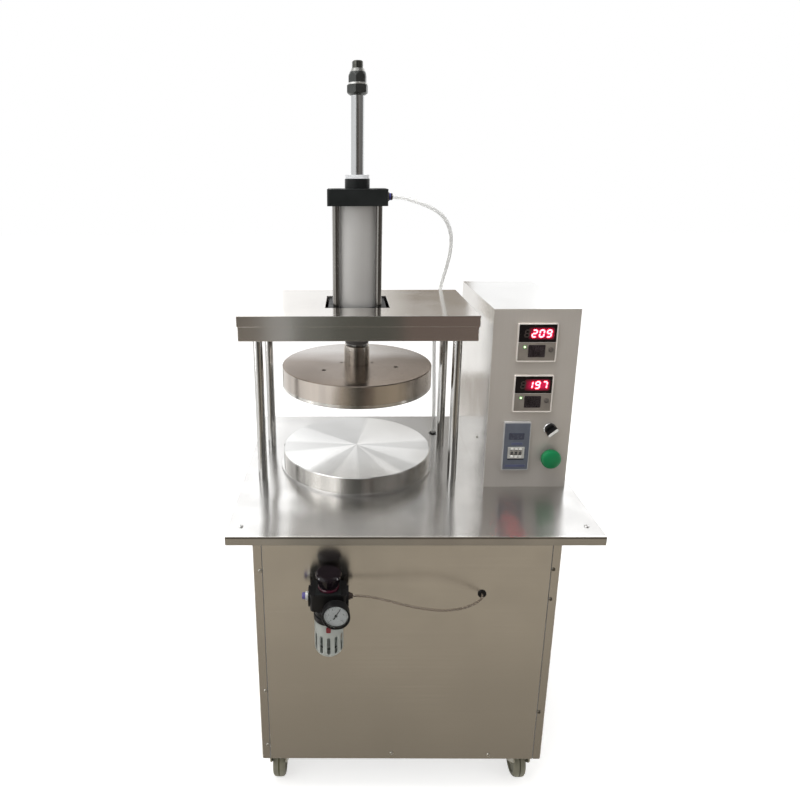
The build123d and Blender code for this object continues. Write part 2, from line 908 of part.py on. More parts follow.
platen_inner = cover_radius - cover_sheet - fixed_clearance
platen_outline = [
    (0, upper_platen_bottom),
    (cover_radius - platen_edge, upper_platen_bottom),
    (cover_radius, upper_platen_bottom + platen_edge),
    (cover_radius, flange_top),
    (platen_inner, flange_top),
    (platen_inner, body_height),
    (platen_hub_diameter / 2, body_height),
    (platen_hub_diameter / 2, cover_top - cover_sheet),
    (0, cover_top - cover_sheet),
]
save(turned(platen_outline, (press_x, press_y, 0)), "upper_platen")


def heater(bottom):
    """Two rings of tubular element joined by a bar."""
    middle = bottom + heater_tube / 2 + fixed_clearance
    with BuildPart() as element:
        for radius in (heater_circle / 2, heater_circle / 2 - heater_step / 2):
            with BuildSketch(front_plane(press_x, press_y, middle)):
                with Locations((radius, 0)):
                    Circle(heater_tube / 2)
            revolve(axis=Axis((press_x, press_y, 0), (0, 0, 1)))
        with BuildSketch(side_plane(press_x + heater_circle / 2 - heater_step / 2, press_y, middle)):
            Rectangle(heater_tube / 2, heater_tube / 2)
        extrude(amount=heater_step / 2)
    return element.part


save(heater(body_height), "upper_heater")


# Lower platen

pocket_top = seat_top + heater_tube + 2 * fixed_clearance
pocket_inner = heater_circle / 2 - heater_step / 2 - heater_tube
pocket_outer = heater_circle / 2 + heater_tube
lower_radius = lower_platen_diameter / 2
lower_outline = [
    (0, seat_top),
    (pocket_inner, seat_top),
    (pocket_inner, pocket_top),
    (pocket_outer, pocket_top),
    (pocket_outer, seat_top),
    (lower_radius, seat_top),
    (lower_radius, lower_platen_top - platen_edge),
    (lower_radius - platen_edge, lower_platen_top),
    (0, lower_platen_top),
]
save(turned(lower_outline, (press_x, press_y, 0)), "lower_platen")
save(rod(seat_diameter, table_height, seat_top, press_x, press_y), "lower_platen_seat")
save(heater(seat_top), "lower_heater")


# Control box

shell_front = box_face + fascia_sheet
shell_depth = box_depth - fascia_sheet
shell_y = shell_front + shell_depth / 2

with BuildPart() as control_box_shell:
    with BuildSketch(level(table_height, box_x, shell_y)):
        Rectangle(box_width, shell_depth)
    extrude(amount=box_height)
    with BuildSketch(level(table_height + box_sheet, box_x, shell_y - box_sheet)):
        Rectangle(box_width - 2 * box_sheet, shell_depth)
    extrude(amount=box_height - 2 * box_sheet, mode=Mode.SUBTRACT)
    with BuildSketch(level(table_height, box_x, shell_y)):
        Rectangle(box_width - 2 * box_hem, shell_depth - 2 * box_hem)
    extrude(amount=box_sheet, mode=Mode.SUBTRACT)
save(control_box_shell.part, "control_box_shell")

controller_x = box_x + controller_shift
controller_spots = [(controller_x, table_height + rise) for rise in (controller_upper, controller_lower)]
timer_spot = (box_x + timer_shift, table_height + timer_level)
selector_spot = (box_x + selector_shift, table_height + selector_level)
button_spot = (box_x + button_shift, table_height + button_level)
switch_spots = [selector_spot, button_spot]

controller_cutout = controller_body + 2 * fixed_clearance

with BuildPart() as control_box_fascia:
    with BuildSketch(front_plane(0, shell_front, 0)):
        with Locations((box_x, table_height + box_height / 2)):
            Rectangle(box_width, box_height)
        with Locations(controller_spots):
            Rectangle(controller_cutout, controller_cutout, mode=Mode.SUBTRACT)
        with Locations(timer_spot):
            Rectangle(
                timer_body_width + 2 * fixed_clearance,
                timer_body_height + 2 * fixed_clearance,
                mode=Mode.SUBTRACT,
            )
        with Locations(switch_spots):
            Circle(sleeve_diameter / 2 + fixed_clearance, mode=Mode.SUBTRACT)
    extrude(amount=fascia_sheet)
save(control_box_fascia.part, "control_box_fascia")


def temperature_controller(x, z):
    """A panel instrument: a square bezel with a sunk face, and its housing behind the fascia."""
    with BuildPart() as instrument:
        with BuildSketch(front_plane(x, box_face, z)):
            RectangleRounded(controller_size, controller_size, bezel_corner)
        extrude(amount=bezel_depth)
        with BuildSketch(front_plane(x, box_face - bezel_depth, z)):
            RectangleRounded(controller_window_width, controller_window_height, edge)
        extrude(amount=-controller_window_depth, mode=Mode.SUBTRACT)
        with BuildSketch(front_plane(x, box_face, z)):
            Rectangle(controller_body, controller_body)
        extrude(amount=-controller_length)
    return instrument.part


save(group(temperature_controller(x, z) for x, z in controller_spots), "temperature_controllers")

wheel_spots = [timer_spot[0] + i * thumbwheel_pitch for i in (-1, 0, 1)]
wheel_z = timer_spot[1] - thumbwheel_drop
wheel_axis_y = box_face - bezel_depth - thumbwheel_proud + thumbwheel_diameter / 2
pocket_width = thumbwheel_count * thumbwheel_pitch + thumbwheel_room
pocket_height = thumbwheel_diameter + 2 * thumbwheel_room
pocket_depth = thumbwheel_diameter - thumbwheel_proud + thumbwheel_room

with BuildPart() as timer:
    with BuildSketch(front_plane(timer_spot[0], box_face, timer_spot[1])):
        RectangleRounded(timer_width, timer_height, bezel_corner)
    extrude(amount=bezel_depth)
    with BuildSketch(front_plane(timer_spot[0], box_face, timer_spot[1])):
        Rectangle(timer_body_width, timer_body_height)
    extrude(amount=-timer_length)
    with BuildSketch(front_plane(timer_spot[0], box_face - bezel_depth, wheel_z)):
        Rectangle(pocket_width, pocket_height)
    extrude(amount=-pocket_depth, mode=Mode.SUBTRACT)
    with BuildSketch(side_plane(timer_spot[0] - pocket_width / 2, wheel_axis_y, wheel_z)):
        Circle(thumbwheel_pin / 2)
    extrude(amount=pocket_width)
save(timer.part, "timer")


def thumbwheel(x):
    """A ten-sided digit wheel that turns on the timer's pin."""
    with BuildPart() as wheel:
        with BuildSketch(side_plane(x - thumbwheel_width / 2, wheel_axis_y, wheel_z)):
            RegularPolygon(thumbwheel_diameter / 2, thumbwheel_sides, rotation=180 / thumbwheel_sides)
            Circle(thumbwheel_pin / 2 + running_clearance, mode=Mode.SUBTRACT)
        extrude(amount=thumbwheel_width)
    return wheel.part


for name, x in zip(("hundreds", "tens", "units"), wheel_spots):
    save(thumbwheel(x), f"{name}_thumbwheel")


def switch_sleeve(x, z):
    """A panel switch's ring, threaded sleeve and contact block, bored for the stem."""
    bore = stem_diameter / 2 + running_clearance
    outline = [
        (bore, -sleeve_length),
        (sleeve_diameter / 2, -sleeve_length),
        (sleeve_diameter / 2, 0),
        (ring_diameter / 2, 0),
        (ring_diameter / 2, ring_depth - small_edge),
        (ring_diameter / 2 - small_edge, ring_depth),
        (bore, ring_depth),
    ]
    with BuildPart() as sleeve:
        add(turned(outline, (x, box_face, z), (0, -1, 0)))
        with BuildSketch(front_plane(x, box_face + sleeve_length, z)):
            Rectangle(contact_width, contact_height)
        extrude(amount=-contact_length)
    return sleeve.part


save(group(switch_sleeve(x, z) for x, z in switch_spots), "switch_sleeves")

stem_radius = stem_diameter / 2
stem_back = button_travel + sliding_clearance - sleeve_length
head_back = ring_depth + button_travel + button_rest_gap
head_front = head_back + button_thickness
button_radius = button_diameter / 2
button_outline = [
    (0, stem_back),
    (stem_radius, stem_back),
    (stem_radius, head_back),
    (button_radius - edge, head_back),
    (button_radius, head_back + edge),
]
for i in range(button_dome_steps + 1):
    slope = pi / 2 * i / button_dome_steps
    button_outline.append((button_radius * cos(slope), head_front - button_dome * (1 - sin(slope))))
save(turned(button_outline, (button_spot[0], box_face, button_spot[1]), (0, -1, 0)), "green_button")

with BuildPart() as selector_knob:
    selector_back = ring_depth + sliding_clearance
    selector_outline = [
        (0, stem_back),
        (stem_radius, stem_back),
        (stem_radius, selector_back),
        (selector_diameter / 2, selector_back),
        (selector_diameter / 2, selector_back + selector_base - small_edge),
        (selector_diameter / 2 - small_edge, selector_back + selector_base),
        (0, selector_back + selector_base),
    ]
    add(turned(selector_outline, (selector_spot[0], box_face, selector_spot[1]), (0, -1, 0)))
    selector_front = box_face - selector_back - selector_base
    with BuildSketch(front_plane(selector_spot[0], selector_front, selector_spot[1])):
        SlotOverall(selector_bar_length, selector_bar_width, rotation=selector_angle)
    extrude(amount=selector_bar_depth)
save(selector_knob.part, "selector_knob")


# Filter regulator

port_tubes = {-1: supply_tube, 1: regulator_tube}

with BuildPart() as regulator_body:
    with BuildSketch(level(body_bottom, regulator_x, regulator_y)):
        RectangleRounded(regulator_body_width, regulator_body_depth, regulator_body_corner)
    extrude(amount=body_top - body_bottom)
    add(rod(neck_diameter, body_top, neck_top, regulator_x, regulator_y))
    collar_radius = collar_diameter / 2
    groove_level = collar_bottom + collar_groove_level
    collar_outline = [
        (0, collar_bottom),
        (collar_radius, collar_bottom),
        (collar_radius, groove_level - collar_groove / 2),
        (collar_radius - collar_groove_depth, groove_level - collar_groove / 2 + small_edge),
        (collar_radius - collar_groove_depth, groove_level + collar_groove / 2 - small_edge),
        (collar_radius, groove_level + collar_groove / 2),
        (collar_radius, body_bottom - collar_shoulder),
        (collar_radius - collar_shoulder, body_bottom),
        (0, body_bottom),
    ]
    add(turned(collar_outline, (regulator_x, regulator_y, 0)))
    for end, port_tube in port_tubes.items():
        port_face = side_plane(regulator_x + end * port_reach, regulator_y, port_level)
        with BuildSketch(port_face):
            Circle(port_diameter / 2)
        extrude(amount=-end * port_boss)
        with BuildSketch(port_face):
            Circle(fitting_hole(port_tube) / 2)
        extrude(amount=-end * fitting_thread_length, mode=Mode.SUBTRACT)
save(regulator_body.part, "regulator_body")

with BuildPart() as regulator_bracket:
    tongue_length = regulator_standoff + bracket_width / 2
    with BuildSketch(level(body_top, regulator_x, cabinet_front - tongue_length / 2)):
        Rectangle(bracket_width, tongue_length)
        with Locations((0, tongue_length / 2 - regulator_standoff)):
            Circle(neck_diameter / 2 + fixed_clearance, mode=Mode.SUBTRACT)
    extrude(amount=bracket_sheet)
    with BuildSketch(front_plane(regulator_x, cabinet_front, body_top + bracket_sheet - bracket_leg / 2)):
        Rectangle(bracket_width, bracket_leg)
    extrude(amount=bracket_sheet)
save(regulator_bracket.part, "regulator_bracket")

knob_bottom = body_top + bracket_sheet + sliding_clearance
knob_top = knob_bottom + knob_height
knob_seat = neck_top + sliding_clearance
knob_outline = [
    (neck_diameter / 2 + running_clearance, knob_bottom),
    (knob_base_diameter / 2 + knob_ring, knob_bottom),
    (knob_base_diameter / 2 + knob_ring, knob_bottom + knob_ring_height),
    (knob_base_diameter / 2, knob_bottom + knob_ring_height + knob_ring),
    (knob_top_diameter / 2, knob_top - knob_edge),
    (knob_top_diameter / 2 - knob_bevel, knob_top - knob_bevel),
    (knob_top_diameter / 2 - knob_edge, knob_top),
    (0, knob_top),
    (0, knob_seat),
    (neck_diameter / 2 + running_clearance, knob_seat),
]
save(turned(knob_outline, (regulator_x, regulator_y, 0)), "regulator_knob")

gauge_radius = gauge_diameter / 2
lens_radius = gauge_radius - gauge_rim
needle_back = gauge_depth - gauge_recess + sliding_clearance
case_outline = [
    (0, -gauge_stem),
    (gauge_stem_diameter / 2, -gauge_stem),
    (gauge_stem_diameter / 2, 0),
    (gauge_radius - gauge_back_edge, 0),
    (gauge_radius - small_edge, gauge_back_edge - small_edge),
    (gauge_radius - small_edge, gauge_depth - gauge_ring - small_edge),
    (gauge_radius, gauge_depth - gauge_ring),
    (gauge_radius, gauge_depth - small_edge),
    (gauge_radius - small_edge, gauge_depth),
    (lens_radius + fixed_clearance, gauge_depth),
    (lens_radius + fixed_clearance, gauge_depth - lens_inset - lens_thickness),
    (lens_radius - small_edge, gauge_depth - lens_inset - lens_thickness),
    (lens_radius - small_edge, gauge_depth - gauge_recess),
    (needle_pin_diameter / 2, gauge_depth - gauge_recess),
    (needle_pin_diameter / 2, needle_back + needle_thickness + needle_pin_end),
    (0, needle_back + needle_thickness + needle_pin_end),
]
gauge_base = (gauge_x, gauge_front + gauge_depth, gauge_z)
save(turned(case_outline, gauge_base, (0, -1, 0)), "gauge_case")

lens_back = gauge_depth - lens_inset - lens_thickness
lens_outline = [
    (0, lens_back),
    (lens_radius, lens_back),
    (lens_radius, lens_back + lens_thickness),
    (0, lens_back + lens_thickness),
]
save(turned(lens_outline, gauge_base, (0, -1, 0)), "gauge_lens")

with BuildPart() as gauge_needle:
    needle_way = (cos(radians(needle_angle)), 0, sin(radians(needle_angle)))
    needle_base = (gauge_x, gauge_front + gauge_depth - needle_back, gauge_z)
    with BuildSketch(Plane(origin=needle_base, x_dir=needle_way, z_dir=(0, -1, 0))):
        with BuildLine():
            Polyline(
                (-needle_tail, -needle_width / 2),
                (needle_length, -needle_tip / 2),
                (needle_length, needle_tip / 2),
                (-needle_tail, needle_width / 2),
                close=True,
            )
        make_face()
        Circle(needle_hub_diameter / 2)
        Circle(needle_pin_diameter / 2 + running_clearance, mode=Mode.SUBTRACT)
    extrude(amount=needle_thickness)
save(gauge_needle.part, "gauge_needle")

guard_radius = guard_diameter / 2
guard_bottom = collar_bottom - guard_length
tab_z = collar_bottom - tab_level


def round_cup(radius, top, bottom, corner, wall):
    """A cup with a rounded lower edge, open at the top."""
    inner = radius - wall
    with BuildPart() as cup:
        with BuildSketch(front_plane(regulator_x, regulator_y, 0)):
            with BuildLine():
                Polyline((0, bottom), (radius - corner, bottom))
                RadiusArc((radius - corner, bottom), (radius, bottom + corner), -corner)
                Polyline((radius, bottom + corner), (radius, top), (inner, top), (inner, bottom + corner))
                RadiusArc((inner, bottom + corner), (radius - corner, bottom + wall), corner - wall)
                Polyline((radius - corner, bottom + wall), (0, bottom + wall), (0, bottom))
            make_face()
        revolve(axis=Axis((regulator_x, regulator_y, 0), (0, 0, 1)))
    return cup.part


with BuildPart() as bowl_guard:
    add(round_cup(guard_radius, collar_bottom, guard_bottom, guard_round, guard_wall))
    slot_middle = guard_bottom + guard_slot_rise + guard_slot_length / 2
    for i in range(guard_slots // 2):
        turn = pi * i / (guard_slots // 2)
        across = (cos(turn), sin(turn), 0)
        outward = (sin(turn), -cos(turn), 0)
        with BuildSketch(Plane(origin=(regulator_x, regulator_y, slot_middle), x_dir=across, z_dir=outward)):
            SlotOverall(guard_slot_length, guard_slot_width, rotation=90)
        extrude(amount=guard_diameter, both=True, mode=Mode.SUBTRACT)
    with BuildSketch(front_plane(regulator_x, regulator_y, tab_z - tab_travel / 2)):
        Rectangle(
            tab_stem_width + 2 * sliding_clearance, tab_stem_height + tab_travel + 2 * sliding_clearance
        )
    extrude(amount=guard_diameter, mode=Mode.SUBTRACT)
save(bowl_guard.part, "bowl_guard")

bowl_bottom = collar_bottom - bowl_length
save(round_cup(bowl_diameter / 2, collar_bottom, bowl_bottom, guard_round, bowl_wall), "filter_bowl")

with BuildPart() as bowl_lock_tab:
    tab_back = regulator_y - guard_radius - sliding_clearance
    stem_depth = guard_wall + 2 * sliding_clearance
    with BuildSketch(front_plane(regulator_x, tab_back, tab_z)):
        RectangleRounded(tab_width, tab_height, tab_corner)
    extrude(amount=tab_thickness)
    with BuildSketch(front_plane(regulator_x, tab_back, tab_z)):
        Rectangle(tab_stem_width, tab_stem_height)
    extrude(amount=-stem_depth)
save(bowl_lock_tab.part, "bowl_lock_tab")


# Air fittings, bushes and hoses


def push_fitting(tube_diameter, hex_length, collar_length, place, direction):
    """A straight push-in fitting: thread, body, release collar and the bore that takes the tube."""
    collar_radius = tube_diameter / 2 + fitting_wall
    body_radius = collar_radius + fitting_step
    thread_radius = collar_radius - fitting_step
    end = hex_length + collar_length
    bore = tube_diameter / 2 + fixed_clearance
    outline = [
        (0, -fitting_thread_length),
        (thread_radius, -fitting_thread_length),
        (thread_radius, 0),
        (body_radius, 0),
        (body_radius, hex_length),
        (collar_radius, hex_length),
        (collar_radius, end - fine_edge),
        (collar_radius - fine_edge, end),
        (bore, end),
        (bore, fitting_seat),
        (0, fitting_seat),
    ]
    return turned(outline, place, direction)


full_size = (fitting_hex_length, fitting_collar_length)
small_size = (small_hex_length, small_collar_length)
cylinder_port = (press_x + head_size / 2, press_y, port_z)
outlet_port = (regulator_x + port_reach, regulator_y, port_level)
inlet_port = (regulator_x - port_reach, regulator_y, port_level)
save(
    group(
        [
            push_fitting(cylinder_tube, *full_size, cylinder_port, (1, 0, 0)),
            push_fitting(regulator_tube, *small_size, outlet_port, (1, 0, 0)),
            push_fitting(supply_tube, *full_size, inlet_port, (-1, 0, 0)),
        ]
    ),
    "air_fittings",
)


def bush(tube_diameter, wall_thickness, place, direction):
    """A bulkhead bush: an outer flange, a body through the wall, a nut behind it and a bore for the tube."""
    bore = tube_diameter / 2 + fixed_clearance
    body_radius = tube_diameter / 2 + bush_wall
    back = -wall_thickness - bush_nut_height
    outline = [
        (0, back - bush_tail),
        (body_radius, back - bush_tail),
        (body_radius, back),
        (body_radius + bush_flange, back),
        (body_radius + bush_flange, -wall_thickness),
        (body_radius, -wall_thickness),
        (body_radius, 0),
        (body_radius + bush_flange, 0),
        (body_radius + bush_flange, bush_flange_height - fine_edge),
        (body_radius + bush_flange - fine_edge, bush_flange_height),
        (bore, bush_flange_height),
        (bore, back),
        (0, back),
    ]
    return turned(outline, place, direction)


gland_outline = [
    (gland_bore / 2, -panel_sheet - gland_inside),
    (gland_diameter / 2, -panel_sheet - gland_inside),
    (gland_diameter / 2, 0),
    (gland_nut_diameter / 2, 0),
    (gland_nut_diameter / 2, gland_nut_height),
    (gland_nut_diameter / 2 - gland_step, gland_nut_height + edge),
    (gland_nut_diameter / 2 - gland_step, gland_length - gland_nose),
    (gland_bore / 2 + gland_nose, gland_length),
    (gland_bore / 2, gland_length),
]
table_bush_place = (bush_x, bush_y, table_height)
panel_bush_place = (hole_x, cabinet_front, hole_level)
table_wall = table_sheet + bed_thickness
save(
    group(
        [
            bush(cylinder_tube, table_wall, table_bush_place, (0, 0, 1)),
            bush(regulator_tube, panel_sheet, panel_bush_place, (0, -1, 0)),
            turned(gland_outline, (gland_x, cabinet_back, gland_level), (0, 1, 0)),
        ]
    ),
    "bushings",
)


def hose(points, diameter, name):
    """A hose of straight runs joined by arcs, each arc as large as its two runs allow."""
    corners = [Vector(*p) for p in points]
    runs = [b - a for a, b in zip(corners, corners[1:])]
    radii = []
    for a, b in zip(runs, runs[1:]):
        half_turn = radians(a.get_angle(b)) / 2
        radii.append(bend_share * min(a.length, b.length) / tan(half_turn))
    with BuildPart() as piece:
        with BuildLine() as route:
            FilletPolyline(*corners, radius=radii)
        start = Plane(origin=corners[0], z_dir=runs[0].normalized())
        with BuildSketch(start):
            Circle(diameter / 2)
        sweep(path=route.wires()[0])
    length = route.wires()[0].length
    expected = pi * diameter**2 / 4 * length
    print(name, "length", round(length, 1), "least radius", round(min(radii), 1))
    print(name, "radii", [round(r) for r in radii])
    print(name, "volume", round(piece.part.volume), "expected", round(expected))
    return piece.part


def route_from(place, steps):
    """Points given as steps away from a place."""
    return [tuple(p + s for p, s in zip(place, step)) for step in steps]


# The cylinder's hose leaves the upper head, droops behind the beam and goes down through the table.
cylinder_hose_points = route_from(
    cylinder_port,
    [
        (fitting_seat, 0, 0),
        (27.25, 0, 0),
        (46.75, 5.75, -6.0),
        (67.25, 14.75, -12.5),
        (89.25, 30.25, -21.5),
        (111.25, 51.25, -34.0),
        (128.75, 72.75, -52.5),
        (138.75, 89.75, -72.5),
        (144.25, 105.25, -95.0),
        (144.75, 119.25, -121.0),
        (141.25, 131.75, -149.0),
        (135.25, 141.75, -178.0),
        (129.25, 149.0, -210.0),
    ],
) + route_from(
    table_bush_place,
    [
        (-2.0, 10.75, 295.0),
        (-3.5, 12.25, 242.0),
        (-2.5, 11.25, 180.0),
        (-0.5, 8.0, 118.0),
        (0.5, 3.75, 66.0),
        (0, 0, 26.0),
        (0, 0, -table_wall - bush_nut_height),
    ],
)
save(hose(cylinder_hose_points, cylinder_tube, "cylinder_hose"), "cylinder_hose")

# The regulator's hose bows out in front of the panel and turns into the panel's bush.
regulator_hose_points = route_from(
    outlet_port,
    [
        (fitting_seat, 0, 0),
        (22.0, 0, 0),
        (41.75, -2.0, -1.5),
        (64.0, -6.5, -4.25),
        (86.75, -12.0, -6.75),
        (110.75, -17.0, -9.5),
    ],
) + route_from(
    panel_bush_place,
    [
        (-98.5, -48.5, 5.75),
        (-77.5, -49.0, 4.25),
        (-57.5, -45.5, 2.75),
        (-39.5, -38.5, 0.75),
        (-24.25, -29.5, -0.75),
        (-12.25, -20.5, -1.5),
        (-4.0, -12.5, -1.25),
        (0, -5.75, 0),
        (0, panel_sheet + bush_nut_height, 0),
    ],
)
save(hose(regulator_hose_points, regulator_tube, "regulator_hose"), "regulator_hose")


# Solenoid valve

with BuildPart() as solenoid_valve:
    with BuildSketch(level(bed_bottom, valve_x, table_y + valve_offset)):
        RectangleRounded(valve_length, valve_width, valve_corner)
    extrude(amount=-valve_height)
    with BuildSketch(level(bed_bottom, valve_x + (valve_length + coil_length) / 2, table_y + valve_offset)):
        RectangleRounded(coil_length, valve_width - coil_inset, valve_corner)
    extrude(amount=-coil_height)
    with BuildSketch(level(bed_bottom - valve_height, valve_x, table_y + valve_offset)):
        with GridLocations(valve_length / (valve_ports + 1), 0, valve_ports, 1):
            Circle(fitting_hole(cylinder_tube) / 2)
    extrude(amount=valve_port_depth, mode=Mode.SUBTRACT)
save(solenoid_valve.part, "solenoid_valve")

print("stroke", stroke, "height", rod_top, "table centre y", table_y, "gauge front", gauge_front)
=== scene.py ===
import math

import bmesh
import bpy
from mathutils import Matrix, Vector


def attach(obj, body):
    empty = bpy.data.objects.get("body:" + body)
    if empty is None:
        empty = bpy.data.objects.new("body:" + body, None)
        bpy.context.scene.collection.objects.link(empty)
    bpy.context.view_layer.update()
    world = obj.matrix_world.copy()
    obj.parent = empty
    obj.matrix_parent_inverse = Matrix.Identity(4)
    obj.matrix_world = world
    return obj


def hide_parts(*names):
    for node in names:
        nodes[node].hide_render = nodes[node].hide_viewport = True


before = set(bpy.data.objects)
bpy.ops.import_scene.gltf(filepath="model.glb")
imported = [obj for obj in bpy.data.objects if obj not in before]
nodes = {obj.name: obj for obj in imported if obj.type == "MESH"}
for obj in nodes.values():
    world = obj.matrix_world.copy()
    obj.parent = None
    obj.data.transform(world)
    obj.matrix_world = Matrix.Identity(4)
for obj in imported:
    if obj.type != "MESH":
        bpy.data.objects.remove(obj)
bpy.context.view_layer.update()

scene = bpy.context.scene
MM = 0.001

# Places that the solids give, in metres
press_x = -0.094
press_y = 0.05175
cabinet_front = -0.22625
cabinet_back = 0.28575
table_front = -0.24025
table_top = 0.590
box_face = -0.06625
bezel_depth = 0.005
bezel_front = box_face - bezel_depth
controller_recess = 0.0012
controller_face = bezel_front + controller_recess
controller_x = 0.2307
upper_controller_z = 0.8805
lower_controller_z = 0.7825
timer_x = 0.207
timer_z = 0.677
wheel_radius = 0.009
wheel_proud = 0.0015
wheel_axis_y = bezel_front - wheel_proud + wheel_radius
wheel_drop = -0.0125
wheel_z = timer_z + wheel_drop
wheel_pitch = 0.0077
selector_x = 0.2695
selector_z = 0.711
selector_back = 0.0028
selector_base = 0.005
selector_bar_depth = 0.013
selector_front = box_face - selector_back - selector_base - selector_bar_depth
selector_angle = 40
regulator_y = -0.25425
gauge_x = -0.133
gauge_z = 0.478
gauge_front = -0.29975
dial_recess = 0.006
dial_y = gauge_front + dial_recess
caster_spots = [(x, y) for x in (-0.2505, 0.2265) for y in (-0.18625, 0.24575)]
caster_plate_z = 0.099


# Materials

# Parts of a value's range over which a finish goes from none to full
NOISE_SPAN = (0.3, 0.7)
BLOTCH_SPAN = (0.2, 0.8)
UPRIGHT_SPAN = (0.4, 0.8)
STRIPE_SPAN = (0.38, 0.62)
EDGE_SPAN = (0.85, 0.995)

MARK_SHARE = 0.35
MARK_DARKENING = 2.2
MARK_HEIGHT = 0.00002
TURNING_SCALE = 900.0
FAN_SHARE = 0.5
FAN_TONE = 0.6
FAN_SOFTNESS = 3
FADE_SCALE = 9.0
FADE_UNEVENNESS = 0.02
STRIPE_SCALE = 26.0
STRIPE_STRETCH = (1, 1, 0.02)
STRIPE_TONE = 0.3
EDGE_BRIGHTENING = 6.0
SCUFF_FINENESS = 3.0
SCUFF_LOW = 0.88
SCUFF_HIGH = 1.14
BEVEL_SAMPLES = 4
GLOW_SCALE = 300.0
GLOW_TONE = 0.85
BACKLIGHT_EDGES = (("X", 0.0, 0.3), ("X", 1.0, 0.88), ("Z", 0.0, 0.3), ("Z", 1.0, 0.7))
BACKLIGHT_LOSS = 0.92
BACKLIGHT_OFF = (0.006, 0.003, 0.003)


def connect(tree, socket, value):
    """Links another node's output to a socket, or sets a plain value on it."""
    if isinstance(value, bpy.types.NodeSocket):
        tree.links.new(value, socket)
    else:
        socket.default_value = value


def add_node(tree, kind, **inputs):
    node = tree.nodes.new(kind)
    for name, value in inputs.items():
        connect(tree, node.inputs[name.replace("_", " ")], value)
    return node


def combine(tree, operation, first, second=None):
    """One step of arithmetic on outputs or numbers."""
    node = tree.nodes.new("ShaderNodeMath")
    node.operation = operation
    connect(tree, node.inputs[0], first)
    if second is not None:
        connect(tree, node.inputs[1], second)
    return node.outputs["Value"]


def own_axes(tree):
    """X, Y and Z of the place on the piece, in the frame's own metres."""
    coords = add_node(tree, "ShaderNodeTexCoord")
    return add_node(tree, "ShaderNodeSeparateXYZ", Vector=coords.outputs["Object"]).outputs


def noise(tree, scale, stretch=(1, 1, 1), detail=3.0):
    """Noise in the frame's own metres, stretched along chosen axes."""
    coords = add_node(tree, "ShaderNodeTexCoord")
    mapping = add_node(tree, "ShaderNodeMapping", Vector=coords.outputs["Object"], Scale=stretch)
    texture = add_node(
        tree, "ShaderNodeTexNoise", Vector=mapping.outputs["Vector"], Scale=scale, Detail=detail
    )
    return texture.outputs["Fac"]


def rings(tree, centre, scale):
    """Noise that changes only with the distance from an upright axis, as turning marks do."""
    coords = add_node(tree, "ShaderNodeTexCoord")
    offset = add_node(tree, "ShaderNodeVectorMath", Vector=coords.outputs["Object"])
    offset.inputs[1].default_value = (-centre[0], -centre[1], 0)
    flat = add_node(tree, "ShaderNodeVectorMath", Vector=offset.outputs["Vector"])
    flat.operation = "MULTIPLY"
    flat.inputs[1].default_value = (1, 1, 0)
    radius = add_node(tree, "ShaderNodeVectorMath", Vector=flat.outputs["Vector"])
    radius.operation = "LENGTH"
    texture = add_node(tree, "ShaderNodeTexNoise", Scale=scale, Detail=2.0)
    texture.noise_dimensions = "1D"
    tree.links.new(radius.outputs["Value"], texture.inputs["W"])
    return texture.outputs["Fac"]


def spread(tree, value, low, high, span=NOISE_SPAN, smooth=False):
    """Maps a span of a value onto a range from low to high."""
    node = add_node(tree, "ShaderNodeMapRange", Value=value)
    node.interpolation_type = "SMOOTHSTEP" if smooth else "LINEAR"
    node.inputs["From Min"].default_value = span[0]
    node.inputs["From Max"].default_value = span[1]
    node.inputs["To Min"].default_value = low
    node.inputs["To Max"].default_value = high
    return node.outputs["Result"]


def sheen_fan(tree, centre, sectors):
    """Painted highlight: bright sectors round an upright axis that stand in for the sheen of a turned face:
    (middle, half width) in degrees.
    """
    axes = own_axes(tree)
    across = combine(tree, "SUBTRACT", axes["X"], centre[0])
    away = combine(tree, "SUBTRACT", axes["Y"], centre[1])
    angle = combine(tree, "ARCTAN2", away, across)
    total = 0.0
    for middle, half in sectors:
        near = combine(tree, "COSINE", combine(tree, "SUBTRACT", angle, math.radians(middle)))
        outer = math.cos(math.radians(half + FAN_SOFTNESS))
        inner = math.cos(math.radians(half - FAN_SOFTNESS))
        total = combine(tree, "ADD", spread(tree, near, 0.0, 1.0, (outer, inner)), total)
    return total


def mix_colors(tree, factor, first, second):
    node = tree.nodes.new("ShaderNodeMix")
    node.data_type = "RGBA"
    connect(tree, node.inputs[0], factor)
    for socket, value in ((node.inputs[6], first), (node.inputs[7], second)):
        connect(tree, socket, value if isinstance(value, bpy.types.NodeSocket) else (*value, 1.0))
    return node.outputs[2]


def tone(color, factor):
    return tuple(min(1.0, c * factor) for c in color)


def new_material(name):
    mat = bpy.data.materials.new(name)
    mat.use_nodes = True
    return mat, mat.node_tree, mat.node_tree.nodes["Principled BSDF"]


